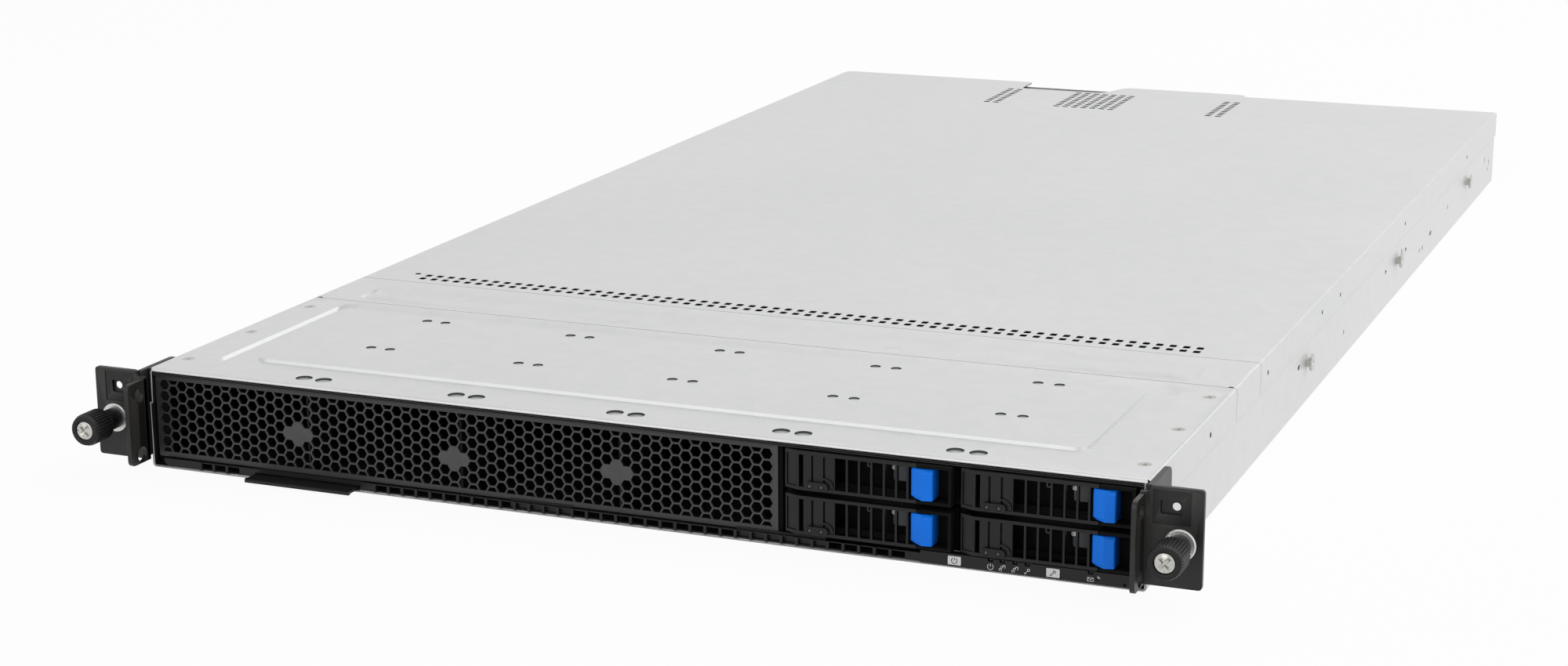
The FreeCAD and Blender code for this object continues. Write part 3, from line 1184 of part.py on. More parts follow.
def psu_fan(index):
    """Rotor of a power supply's fan, behind its guard."""
    depth = PSU_FAN_DEPTH - PSU_GUARD - 2 * GAP
    y = PSU_Y1 - PSU_FAN_DEPTH + GAP
    reach = blade_reach(PSU_FAN_R, depth)
    return rotor(psu_x(index) + PSU_FAN_X, y, PSU_Z + PSU_H / 2, reach, HUB_R - 1.0, depth, True)


def psu_handle(index):
    """Fixed pull handle of a power supply: a flat strap bent into a loop."""
    x = psu_x(index) + PSU_FAN_X + PSU_FAN_R + 1.2
    x1 = x + HANDLE_SPAN
    y0 = PSU_Y1
    y1 = y0 + HANDLE_REACH
    z0 = PSU_Z + HANDLE_Z
    bend = HANDLE_T + 1.0
    plan = [(x, y0), (x1, y0), (x1, y1 - bend), (x1 - bend, y1), (x + bend, y1), (x, y1 - bend)]
    inside = [(x + HANDLE_T, y0 - 1), (x1 - HANDLE_T, y0 - 1), (x1 - HANDLE_T, y1 - bend - 0.6),
              (x1 - bend - 0.6, y1 - HANDLE_T), (x + bend + 0.6, y1 - HANDLE_T), (x + HANDLE_T, y1 - bend - 0.6)]
    return extrude_z(plan, z0, z0 + HANDLE_W).cut(extrude_z(inside, z0 - 1, z0 + HANDLE_W + 1))


def psu_latch(index):
    """Release lever of a power supply, pressed sideways towards the handle."""
    x = psu_x(index) + PSU_W - LATCH_LEVER_IN
    y0 = PSU_Y1 + GAP
    y1 = y0 + HANDLE_REACH * 0.7
    z0 = PSU_Z + 4.0
    stem = box(x, x + LATCH_LEVER_T, y0, y1, z0, z0 + LATCH_LEVER_H)
    pad = extrude_z([(x - 0.4, y1 - 4), (x + LATCH_LEVER_T + 0.8, y1 - 4), (x + LATCH_LEVER_T + 0.8, y1 + 1),
                     (x - 0.4, y1 + 3)], z0 - 1, z0 + LATCH_LEVER_H + 1)
    return joined(stem, pad)


def main():
    """Build and write every node."""
    os.makedirs("parts", exist_ok=True)
    save("base_pan", base_pan())
    save("rear_panel", rear_panel())
    save("front_cover", front_cover())
    save("mid_bridge", mid_bridge())
    save("cover_screws", *cover_screws())
    save("top_cover", top_cover())
    save("front_frame", *front_frame())
    save("honeycomb_grille", honeycomb_grille())
    save("vent_strip", vent_strip())
    save("tag_guide", tag_guide())
    save("asset_tag", asset_tag())
    save("control_strip", control_strip())
    save("lamp_windows", *lamp_windows())
    save("power_button", push_button(POWER_IN))
    save("locate_button", push_button(LOCATE_IN))
    save("reset_button", reset_button())
    studs = rail_stud()
    save("rail_studs", *(studs + [mirrored(stud) for stud in studs]))
    save("thumbscrew_ferrules", *both_sides(ferrule()))
    save("thumbscrew_barrels", *both_sides(guide_barrel()))
    for side, place in (("right", lambda shape: shape), ("left", mirrored)):
        save(side + "_ear", place(right_ear()))
        save(side + "_knob", place(knob()))
        save(side + "_screw", place(captive_screw()))
        save(side + "_screw_clip", place(screw_clip()))
    number = 1
    for column in range(2):
        for z in reversed(TRAY_ZS):
            x = TRAY_X0 + column * TRAY_PITCH
            save("drive_tray_%d" % number, tray_carrier(x, z), tray_drive(x, z))
            save("tray_lever_%d" % number, tray_lever(x, z))
            save("tray_latch_%d" % number, tray_latch(x, z))
            number += 1
    save("drive_cage", drive_cage())
    save("bay_dividers", *bay_dividers())
    save("drive_backplane", drive_backplane())
    save("fan_frames", *fan_frames())
    save("fan_rotors", *fan_rotors())
    save("system_board", system_board())
    save("heatsinks", *heatsinks())
    save("memory_modules", *memory_modules())
    save("air_duct", air_duct())
    save("riser_cards", *riser_cards())
    save("slot_covers", *slot_covers())
    save("rear_ports", *rear_ports())
    save("power_board", power_board())
    for index in range(2):
        save("power_supply_%d" % (index + 1), power_supply(index))
        save("psu_fan_%d" % (index + 1), psu_fan(index))
        save("psu_handle_%d" % (index + 1), psu_handle(index))
        save("psu_latch_%d" % (index + 1), psu_latch(index))


main()
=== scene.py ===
"""Dresses the one-unit rack server: finishes, fine sheet-metal forms, light and camera.

Sizes are millimetres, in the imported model's frame: X to the right, +Y to the rear, +Z up. A mesh
is scaled to metres when it is made. Places come from the CAD nodes' own limits.
"""
import json
import logging
import math
from collections.abc import Sequence
from dataclasses import dataclass
from enum import Enum

import bmesh
import bpy
from mathutils import Matrix, Vector
from mathutils.geometry import delaunay_2d_cdt


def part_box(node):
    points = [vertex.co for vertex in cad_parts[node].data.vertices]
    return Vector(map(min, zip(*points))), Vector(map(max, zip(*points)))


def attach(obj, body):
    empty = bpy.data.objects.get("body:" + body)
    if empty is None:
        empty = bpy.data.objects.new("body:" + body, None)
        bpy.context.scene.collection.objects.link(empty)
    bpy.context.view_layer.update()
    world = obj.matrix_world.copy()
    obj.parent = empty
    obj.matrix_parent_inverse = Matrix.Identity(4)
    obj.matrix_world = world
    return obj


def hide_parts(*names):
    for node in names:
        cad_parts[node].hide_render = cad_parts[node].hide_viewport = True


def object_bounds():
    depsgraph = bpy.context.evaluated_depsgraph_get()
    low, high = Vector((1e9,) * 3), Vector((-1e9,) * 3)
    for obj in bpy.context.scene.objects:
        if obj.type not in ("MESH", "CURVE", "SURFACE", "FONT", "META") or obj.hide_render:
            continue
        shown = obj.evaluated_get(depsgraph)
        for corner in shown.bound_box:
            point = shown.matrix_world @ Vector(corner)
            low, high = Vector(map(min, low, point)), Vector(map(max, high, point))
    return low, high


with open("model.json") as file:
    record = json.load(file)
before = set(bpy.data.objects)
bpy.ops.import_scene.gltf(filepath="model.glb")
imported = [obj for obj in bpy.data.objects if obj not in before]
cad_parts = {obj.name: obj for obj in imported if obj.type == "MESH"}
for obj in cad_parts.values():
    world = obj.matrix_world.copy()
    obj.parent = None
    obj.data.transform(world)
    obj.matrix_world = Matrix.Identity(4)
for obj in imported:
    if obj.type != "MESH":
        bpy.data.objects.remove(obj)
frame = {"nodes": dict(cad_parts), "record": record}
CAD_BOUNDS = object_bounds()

MM = 0.001
TONES = (0.3, 0.7)          # pattern values that give a finish's shade and its colour
GRAIN_DETAIL = 3.0
PATCH_DETAIL = 5.0
ROUND_SIDES = 28            # straight steps round a small circle
MERGE = 0.0005              # points closer than this are one
SLIVER = 0.0002             # edges shorter than this go
SMOOTH_ANGLE = 32.0         # degrees below which two faces shade as one
EASE_ANGLE = 38.0           # degrees above which an edge is eased
EASE_STEPS = 2
NODE_EASE = 0.12            # eased edges of the CAD nodes that still show
FILLED = 1                  # triangles inside an outline
NEAR = 1e-5                 # outline points closer than this are one
SCREW_X = 232.6             # the thumbscrews' distance from the middle
SCREW_Z = 22.0
Point2 = tuple[float, float]
Point3 = tuple[float, float, float]
Span = tuple[float, float, float, float]
Outline = Sequence[Point2]
Tree = bpy.types.NodeTree
Socket = bpy.types.NodeSocket
log = logging.getLogger("rack_server")


class Axis(Enum):
    """Direction that a flat outline faces; its own coordinates are the other two, in order."""

    X = 0
    Y = 1
    Z = 2

    def lift(self, point: Point2, height: float) -> Point3:
        """Point in space from a point of the outline and a height along the axis."""
        a, b = point
        return {Axis.X: (height, a, b), Axis.Y: (a, height, b), Axis.Z: (a, b, height)}[self]


class Side(Enum):
    """The two sides of the rack, with the sign of X there."""

    RIGHT = 1
    LEFT = -1

    def span(self, a: float, b: float) -> list[float]:
        """Low and high X of two distances from the middle, on this side."""
        return sorted((self.value * a, self.value * b))


@dataclass(frozen=True)
class Extent:
    """Limits of a CAD node at rest, in millimetres."""

    x0: float
    x1: float
    y0: float
    y1: float
    z0: float
    z1: float

    @classmethod
    def of(cls, node: str) -> "Extent":
        """Limits of the CAD node with a name."""
        low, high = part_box(node)
        return cls(*[round(value / MM, 3) for pair in zip(low, high) for value in pair])


# ---- outlines ---------------------------------------------------------------------------------

def arc(centre: Point2, radius: float, start: float, sweep: float, steps: int) -> list[Point2]:
    """Points along an arc, from a start over a sweep in degrees and so many straight steps."""
    angles = [math.radians(start + sweep * k / steps) for k in range(steps + 1)]
    return [(centre[0] + radius * math.cos(a), centre[1] + radius * math.sin(a)) for a in angles]


def circle(centre: Point2, radius: float, sides: int = ROUND_SIDES) -> list[Point2]:
    """Closed round outline."""
    return arc(centre, radius, 0.0, 360.0, sides)[:-1]


def block(x0: float, x1: float, y0: float, y1: float) -> list[Point2]:
    """Closed square-cornered outline."""
    return [(x0, y0), (x1, y0), (x1, y1), (x0, y1)]


def rounded(x0: float, x1: float, y0: float, y1: float, radius: float, steps: int = 6) -> list[Point2]:
    """Closed rectangle with round corners.

    Args:
        x0: its low limit in its first coordinate.
        x1: its high limit there.
        y0: its low limit in its second coordinate.
        y1: its high limit there.
        radius: the corners' radius.
        steps: straight steps round a corner.

    Returns:
        The outline's points.
    """
    x0, x1, y0, y1 = x0 + radius, x1 - radius, y0 + radius, y1 - radius
    corners = ((x1, y0, 270), (x1, y1, 0), (x0, y1, 90), (x0, y0, 180))
    return [point for x, y, start in corners for point in arc((x, y), radius, start, 90, steps)]


def eased(corners: Sequence[Point3], steps: int = 5) -> list[Point2]:
    """Closed outline whose corners are eased.

    Args:
        corners: for each corner its two coordinates and how far from it the easing starts.
        steps: straight steps round an eased corner.

    Returns:
        The outline's points.
    """
    points: list[Point2] = []
    for i, (x, y, reach) in enumerate(corners):
        if reach <= 0:
            points.append((x, y))
            continue
        here = Vector((x, y))
        before = Vector(corners[i - 1][:2])
        after = Vector(corners[(i + 1) % len(corners)][:2])
        start = here + (before - here).normalized() * reach
        end = here + (after - here).normalized() * reach
        for k in range(steps + 1):
            t = k / steps
            point = start * (1 - t) ** 2 + here * 2 * t * (1 - t) + end * t ** 2
            points.append((point.x, point.y))
    return points


def shifted(x: float, z: float, span: Span) -> Span:
    """Limits across and upwards, moved by a distance each way."""
    return (x + span[0], x + span[1], z + span[2], z + span[3])


def flipped(outline: Outline) -> list[Point2]:
    """Outline mirrored in its first coordinate."""
    return [(-a, b) for a, b in reversed(outline)]


# ---- finishes ---------------------------------------------------------------------------------

def linear(code: str) -> tuple[float, float, float, float]:
    """Scene colour of a six-digit colour code."""
    parts = [int(code[i:i + 2], 16) / 255 for i in (0, 2, 4)]
    return tuple(p / 12.92 if p <= 0.04045 else ((p + 0.055) / 1.055) ** 2.4 for p in parts) + (1.0,)


def add_node(tree: Tree, kind: str, values: dict | None = None, links: dict | None = None,
             **settings: str) -> bpy.types.Node:
    """Adds a shader node.

    Args:
        tree: the tree that it joins.
        kind: its type, without the common start of the name.
        values: constants for its inputs.
        links: sockets that feed its inputs.
        **settings: its own settings, made before the inputs are set.

    Returns:
        The node.
    """
    made = tree.nodes.new(f"ShaderNode{kind}")
    for key, value in settings.items():
        setattr(made, key, value)
    for key, value in (values or {}).items():
        made.inputs[key].default_value = value
    for key, source in (links or {}).items():
        tree.links.new(source, made.inputs[key])
    return made


@dataclass(frozen=True)
class Finish:
    """A worked surface: colour that varies in patches and grain, with uneven gloss and fine bump."""

    name: str
    colour: str
    shade: str
    metal: float = 0.0
    rough: float = 0.5
    rough_range: float = 0.1
    patch_scale: float = 25.0
    grain_scale: float = 1400.0
    grain_share: float = 0.35
    bump: float = 0.12
    bump_depth: float = 0.02
    stretch: Point3 = (1.0, 1.0, 1.0)
    wear: str = ""
    wear_from: Point2 = (0.52, 0.62)
    coat: float = 0.0
    specular: float = 0.5

    def material(self) -> bpy.types.Material:
        """Material of this finish, made once.

        Returns:
            The Blender material.
        """
        found = bpy.data.materials.get(self.name)
        if found:
            return found
        made = bpy.data.materials.new(self.name)
        made.use_nodes = True
        tree = made.node_tree
        coords = add_node(tree, "TexCoord")
        mapped = add_node(tree, "Mapping", {"Scale": self.stretch}, {"Vector": coords.outputs["Object"]})
        place = mapped.outputs["Vector"]
        patch = self.pattern(tree, place)
        grain = self.noise(tree, place, self.grain_scale, GRAIN_DETAIL)
        mixed = add_node(tree, "Mix", {"Factor": self.grain_share}, {"A": patch, "B": grain})
        blend = mixed.outputs["Result"]
        tone = add_node(tree, "ValToRGB", links={"Fac": blend})
        for stop, position, code in zip(tone.color_ramp.elements, TONES, (self.shade, self.colour)):
            stop.position = position
            stop.color = linear(code)
        gloss = add_node(tree, "MapRange", {"From Min": TONES[0], "From Max": TONES[1],
                                            "To Min": self.rough - self.rough_range,
                                            "To Max": self.rough + self.rough_range}, {"Value": blend})
        relief = add_node(tree, "Bump", {"Strength": self.bump, "Distance": self.bump_depth * MM},
                          {"Height": grain})
        shader = tree.nodes["Principled BSDF"]
        shader.inputs["Metallic"].default_value = self.metal
        shader.inputs["Coat Weight"].default_value = self.coat
        shader.inputs["Specular IOR Level"].default_value = self.specular
        tree.links.new(self.worn(tree, tone.outputs["Color"], grain), shader.inputs["Base Color"])
        tree.links.new(gloss.outputs["Result"], shader.inputs["Roughness"])
        tree.links.new(relief.outputs["Normal"], shader.inputs["Normal"])
        return made

    def pattern(self, tree: Tree, place: Socket) -> Socket:
        """Large patches of the finish."""
        return self.noise(tree, place, self.patch_scale, PATCH_DETAIL)

    def noise(self, tree: Tree, place: Socket, scale: float, detail: float) -> Socket:
        """Noise over the object, from 0 to 1, by its waves to the metre and its octaves."""
        made = add_node(tree, "TexNoise", {"Scale": scale, "Detail": detail}, {"Vector": place})
        return made.outputs["Fac"]

    def worn(self, tree: Tree, colour: Socket, grain: Socket) -> Socket:
        """Colour with its edges rubbed towards the wear colour, if there is one.

        Args:
            tree: the material's nodes.
            colour: the unworn colour.
            grain: noise that breaks up the wear.

        Returns:
            Socket with the colour.
        """
        if not self.wear:
            return colour
        edge = add_node(tree, "NewGeometry").outputs["Pointiness"]
        low, high = self.wear_from
        cut = add_node(tree, "MapRange", {"From Min": low, "From Max": high}, {"Value": edge})
        broken = add_node(tree, "Math", links={0: cut.outputs["Result"], 1: grain}, operation="MULTIPLY")
        mixed = add_node(tree, "Mix", {"B": linear(self.wear)},
                         {"Factor": broken.outputs["Value"], "A": colour}, data_type="RGBA")
        return mixed.outputs["Result"]


@dataclass(frozen=True)
class SpangledFinish(Finish):
    """Zinc-coated sheet with faint crystal patches."""

    crystal_scale: float = 150.0
    cloud_share: float = 0.72
    cloud_detail: float = 4.0

    def pattern(self, tree: Tree, place: Socket) -> Socket:
        """Crystal patches mixed with slow clouds.

        Args:
            tree: the material's nodes.
            place: coordinates on the object.

        Returns:
            Socket with values from 0 to 1.
        """
        cells = add_node(tree, "TexVoronoi", {"Scale": self.crystal_scale}, {"Vector": place})
        tone = add_node(tree, "SeparateColor", links={"Color": cells.outputs["Color"]})
        clouds = self.noise(tree, place, self.patch_scale, self.cloud_detail)
        blend = add_node(tree, "Mix", {"Factor": self.cloud_share}, {"A": tone.outputs["Red"], "B": clouds})
        return blend.outputs["Result"]


ZINC = SpangledFinish("zinc_coated_steel", "E3E4E3", "D9DADA", metal=0.4, rough=0.36, rough_range=0.04,
                      patch_scale=5.0, grain_share=0.5, bump=0.06)
# Darker steel for the sheets' cut edges and the walls of pressed pockets: partly the raw edge's own tone,
# partly painted shade.
CUT_EDGE_AND_SHADE = Finish("cut_edge_and_painted_shade", "4E5052", "3E4042", metal=0.5, rough=0.6)
# Near-black steel with little gloss: painted shade on the covers' and the pan's inner skins and on galvanised
# parts deep inside.
PAINTED_SHADE_STEEL = Finish("painted_shade_steel", "1E1F20", "161718", metal=0.2, rough=0.7, specular=0.2)
BLACK_STEEL = Finish("black_powder_coat", "1A1919", "101010", rough=0.4, specular=0.38, grain_scale=2600.0,
                     bump=0.3, bump_depth=0.03, wear="4A4845")
MESH_STEEL = Finish("dark_grille_paint", "353535", "272727", rough=0.45, grain_scale=2600.0, bump=0.25,
                    bump_depth=0.03, wear="6A6A6A")
BLACK_PLASTIC = Finish("black_moulded_plastic", "151516", "0D0D0E", rough=0.42, specular=0.3,
                       grain_scale=1800.0, bump=0.35, bump_depth=0.04)
CARRIER = Finish("carrier_metal", "4C4E50", "3A3C3E", metal=0.7, rough=0.45, stretch=(1.0, 0.15, 1.0))
ALUMINIUM = Finish("brushed_aluminium", "C2C4C6", "A4A6A8", metal=0.9, rough=0.34,
                   stretch=(1.0, 0.06, 1.0), grain_share=0.6)
NICKEL = Finish("nickel_plate", "C9C7C2", "B4B2AE", metal=0.95, rough=0.24, rough_range=0.06,
                patch_scale=120.0)
BRIGHT_ZINC = Finish("bright_zinc_plate", "E6E6E4", "D2D2D0", metal=0.75, rough=0.3, patch_scale=90.0)
BLUE = Finish("blue_release_plastic", "0080FC", "0072E8", rough=0.42, rough_range=0.05, bump=0.15,
              grain_scale=1500.0, specular=0.25)
ORANGE = Finish("orange_release_plastic", "D9631E", "C85716", rough=0.4, rough_range=0.05, bump=0.15)
WHITE = Finish("white_button_plastic", "ECECEA", "E0E0DE", rough=0.4, rough_range=0.06)
LENS = Finish("smoked_lamp_lens", "0C0C0E", "08080A", rough=0.22, rough_range=0.04, coat=0.4, specular=0.6)
BOARD = Finish("green_circuit_board", "17502F", "0F4025", rough=0.42, grain_scale=900.0, grain_share=0.5,
               coat=0.2)
PSU_CASE = Finish("plain_zinc_case", "BDBFBF", "ADAFB0", metal=0.6, rough=0.48, patch_scale=14.0)
# Deep matt black: the front frame's and the tray bezels' own black made darker and duller as painted shade,
# also laid over the parts just behind as painted shade.
BLACK_AND_SHADE = Finish("black_with_painted_shade", "0A0A0A", "060606", rough=0.8, specular=0.15)
MARK = Finish("printed_mark", "E6E8E8", "D6D8D8", rough=0.6)
DARK_MARK = Finish("dark_mark", "2E3033", "26282B", rough=0.6)

SLOT_FINISHES: dict[str, Finish] = {
    "galvanised_steel": ZINC, "black_steel": BLACK_STEEL, "black_plastic": BLACK_PLASTIC,
    "carrier_alloy": CARRIER, "sink_alloy": ALUMINIUM, "blue_plastic": BLUE, "orange_plastic": ORANGE,
    "white_plastic": WHITE, "lamp_lens": LENS, "nickel_steel": NICKEL, "green_board": BOARD,
    "psu_case": PSU_CASE,
}
# CAD nodes deep inside that get darker finishes than their slots as painted shade: the galvanised dividers,
# drive cage and tag guide, and the black front frame.
NODES_IN_PAINTED_SHADE: dict[str, Finish] = {"bay_dividers": PAINTED_SHADE_STEEL, "drive_cage": PAINTED_SHADE_STEEL,
                             "tag_guide": PAINTED_SHADE_STEEL, "front_frame": BLACK_AND_SHADE}
SLOT_OF: dict[str, str] = {part["node"]: part["material_slot"] for part in frame["record"]["subparts"]}


# ---- meshes -----------------------------------------------------------------------------------

class Maker:
    """Collects faces in millimetres and turns them into one piece."""

    def __init__(self, *finishes: Finish) -> None:
        """Starts an empty piece.

        Args:
            *finishes: its finishes, which faces name by number.
        """
        self.finishes = finishes
        self.points: list[Point3] = []
        self.faces: list[list[int]] = []
        self.dress: list[int] = []

    def add(self, points: Sequence[Point3], faces: Sequence[Sequence[int]], dress: int) -> None:
        """Adds points, and faces that count from the first of them.

        Args:
            points: the new points.
            faces: numbers of each face's points.
            dress: number of the faces' finish.
        """
        base = len(self.points)
        self.points += points
        self.faces += [[base + i for i in face] for face in faces]
        self.dress += [dress] * len(faces)

    def facet(self, corners: Sequence[Point3], dress: int = 0) -> None:
        """One flat face."""
        self.add(corners, [range(len(corners))], dress)

    def loft(self, loops: Sequence[Sequence[Point3]], dress: int = 0, closed: bool = True,
             first_cap: bool = False, last_cap: bool = False) -> None:
        """Faces between loops with equal counts of points.

        Args:
            loops: the loops in order.
            dress: number of the finish.
            closed: whether each loop runs round to its start.
            first_cap: whether the first loop is filled.
            last_cap: whether the last loop is filled.
        """
        count = len(loops[0])
        faces = []
        for a in range(0, (len(loops) - 1) * count, count):
            for i in range(count if closed else count - 1):
                j = (i + 1) % count
                faces.append([a + i, a + j, a + count + j, a + count + i])
        self.add([point for loop in loops for point in loop], faces, dress)
        if first_cap:
            self.facet(list(reversed(loops[0])), dress)
        if last_cap:
            self.facet(loops[-1], dress)

    def slope(self, stages: Sequence[tuple[Outline, float]], axis: Axis = Axis.Z, dress: int = 0,
              closed: bool = True, floor: bool = False) -> None:
        """Walls through outlines that each lie at a height; a floor fills the last one."""
        self.loft([[axis.lift(p, height) for p in outline] for outline, height in stages], dress, closed,
                  last_cap=floor)

    def wall(self, outline: Outline, axis: Axis, low: float, high: float, dress: int = 0,
             closed: bool = True) -> None:
        """Upright wall along an outline."""
        self.slope([(outline, low), (outline, high)], axis, dress, closed)

    def sheet(self, outline: Outline, holes: Sequence[Outline], axis: Axis, height: float,
              dress: int = 0) -> None:
        """Flat surface inside an outline and outside its holes.

        Args:
            outline: its edge.
            holes: outlines that are left open.
            axis: direction that it faces.
            height: where it lies along the axis.
            dress: number of the finish.
        """
        if not holes:
            self.facet([axis.lift(p, height) for p in outline], dress)
            return
        flat: list[Vector] = []
        rings = []
        for loop in (outline, *holes):
            rings.append(list(range(len(flat), len(flat) + len(loop))))
            flat += [Vector(p) for p in loop]
        spots, _, cells, _, _, owners = delaunay_2d_cdt(flat, [], rings, FILLED, NEAR)
        solid = [cell for cell, owner in zip(cells, owners) if list(owner) == [0]]
        self.add([axis.lift((p.x, p.y), height) for p in spots], solid, dress)

    def plate(self, outline: Outline, axis: Axis, low: float, high: float, holes: Sequence[Outline] = (),
              dress: int = 0) -> None:
        """Solid plate.

        Args:
            outline: its edge.
            axis: direction that it faces.
            low: where it starts along the axis.
            high: where it ends.
            holes: outlines that are left open.
            dress: number of the finish.
        """
        for height in (low, high):
            self.sheet(outline, holes, axis, height, dress)
        for loop in (outline, *holes):
            self.wall(loop, axis, low, high, dress)

    def turned(self, centre: Point2, axis: Axis, profile: Outline, sides: int = 40, dress: int = 0,
               open_ends: bool = False, base: float = 0.0) -> None:
        """Form turned about an axis, from each ring's radius and its height above a base."""
        rings = [[axis.lift(p, base + h) for p in circle(centre, r, sides)] for r, h in profile]
        self.loft(rings, dress, True, not open_ends, not open_ends)

    def piece(self, name: str, body: str, slot: str, stands_for: Sequence[str] = (), thick: float = 0.0,
              outside: Point3 = (0.0, 0.0, 1.0), rim: int = 1, bevel: float = 0.0,
              smooth: float = SMOOTH_ANGLE) -> None:
        """Turns what was collected into a piece that rides on a body.

        Args:
            name: the piece's name.
            body: the CAD body that it moves with.
            slot: the record's material slot of the piece; not used.
            stands_for: CAD nodes that it replaces.
            thick: sheet thickness given to an open surface, towards its inner side.
            outside: rough direction of an open surface's outer side.
            rim: number of the finish of a thickened sheet's cut edges; its inner skin has the last one.
            bevel: width of its eased edges.
            smooth: faces that meet at less than this angle, in degrees, shade as one.
        """
        mesh = bpy.data.meshes.new(name)
        mesh.from_pydata([tuple(c * MM for c in p) for p in self.points], [], self.faces)
        mesh.polygons.foreach_set("material_index", self.dress)
        work = bmesh.new()
        work.from_mesh(mesh)
        bmesh.ops.remove_doubles(work, verts=work.verts, dist=MERGE * MM)
        bmesh.ops.dissolve_degenerate(work, edges=work.edges, dist=SLIVER * MM)
        bmesh.ops.recalc_face_normals(work, faces=work.faces)
        if thick:
            lean = sum((f.normal * f.calc_area() for f in work.faces), Vector()).dot(Vector(outside))
            if lean < 0:
                bmesh.ops.reverse_faces(work, faces=work.faces)
        work.to_mesh(mesh)
        work.free()
        for finish in self.finishes:
            mesh.materials.append(finish.material())
        mesh.polygons.foreach_set("use_smooth", [True] * len(mesh.polygons))
        mesh.set_sharp_from_angle(angle=math.radians(smooth))
        made = place_object(name, mesh)
        if thick:
            solid = made.modifiers.new("sheet", "SOLIDIFY")
            solid.thickness = thick * MM
            solid.offset = -1.0
            solid.material_offset = len(self.finishes) - 1
            solid.material_offset_rim = rim
        if bevel:
            ease_edges(made, bevel)
        made.modifiers.new("flat_faces", "WEIGHTED_NORMAL").keep_sharp = True
        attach(made, body)
        if stands_for:
            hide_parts(*stands_for)
        log.info("made %s for %s", name, ", ".join(stands_for) or body)


def place_object(name: str, data: bpy.types.ID) -> bpy.types.Object:
    """Object in the scene that shows a mesh, a curve, a lamp or a camera.

    Args:
        name: its name.
        data: what it shows.

    Returns:
        The object.
    """
    made = bpy.data.objects.new(name, data)
    bpy.context.scene.collection.objects.link(made)
    return made


def ease_edges(made: bpy.types.Object, width: float) -> None:
    """Rounds a piece's sharp edges.

    Args:
        made: the piece.
        width: width of the rounding in millimetres.
    """
    ease = made.modifiers.new("eased_edges", "BEVEL")
    ease.width = width * MM
    ease.segments = EASE_STEPS
    ease.limit_method = "ANGLE"
    ease.angle_limit = math.radians(EASE_ANGLE)
    ease.harden_normals = True
    ease.use_clamp_overlap = True


def dress_node(node: str, *finishes: Finish, bevel: float = 0.0) -> bpy.types.Object:
    """Gives a CAD node its finishes, and eases its edges if a width is given.

    Args:
        node: the node's name.
        *finishes: its finishes.
        bevel: width of its eased edges.

    Returns:
        The node's object.
    """
    shape = frame["nodes"][node]
    shape.data.materials.clear()
    for finish in finishes:
        shape.data.materials.append(finish.material())
    if bevel:
        ease_edges(shape, bevel)
    return shape


# ---- light and camera -------------------------------------------------------------------------

@dataclass(frozen=True)
class Lamp:
    """Square soft lamp: where it stands, the point that it faces, its side and its power in watts."""

    name: str
    place: Point3
    aim: Point3
    size: float
    power: float

    def build(self) -> None:
        """Hangs the lamp."""
        light = bpy.data.lights.new(self.name, "AREA")
        light.energy = self.power
        light.size = self.size * MM
        made = place_object(self.name, light)
        made.location = Vector(self.place) * MM
        made.rotation_euler = (Vector(self.aim) - Vector(self.place)).to_track_quat("-Z", "Y").to_euler()


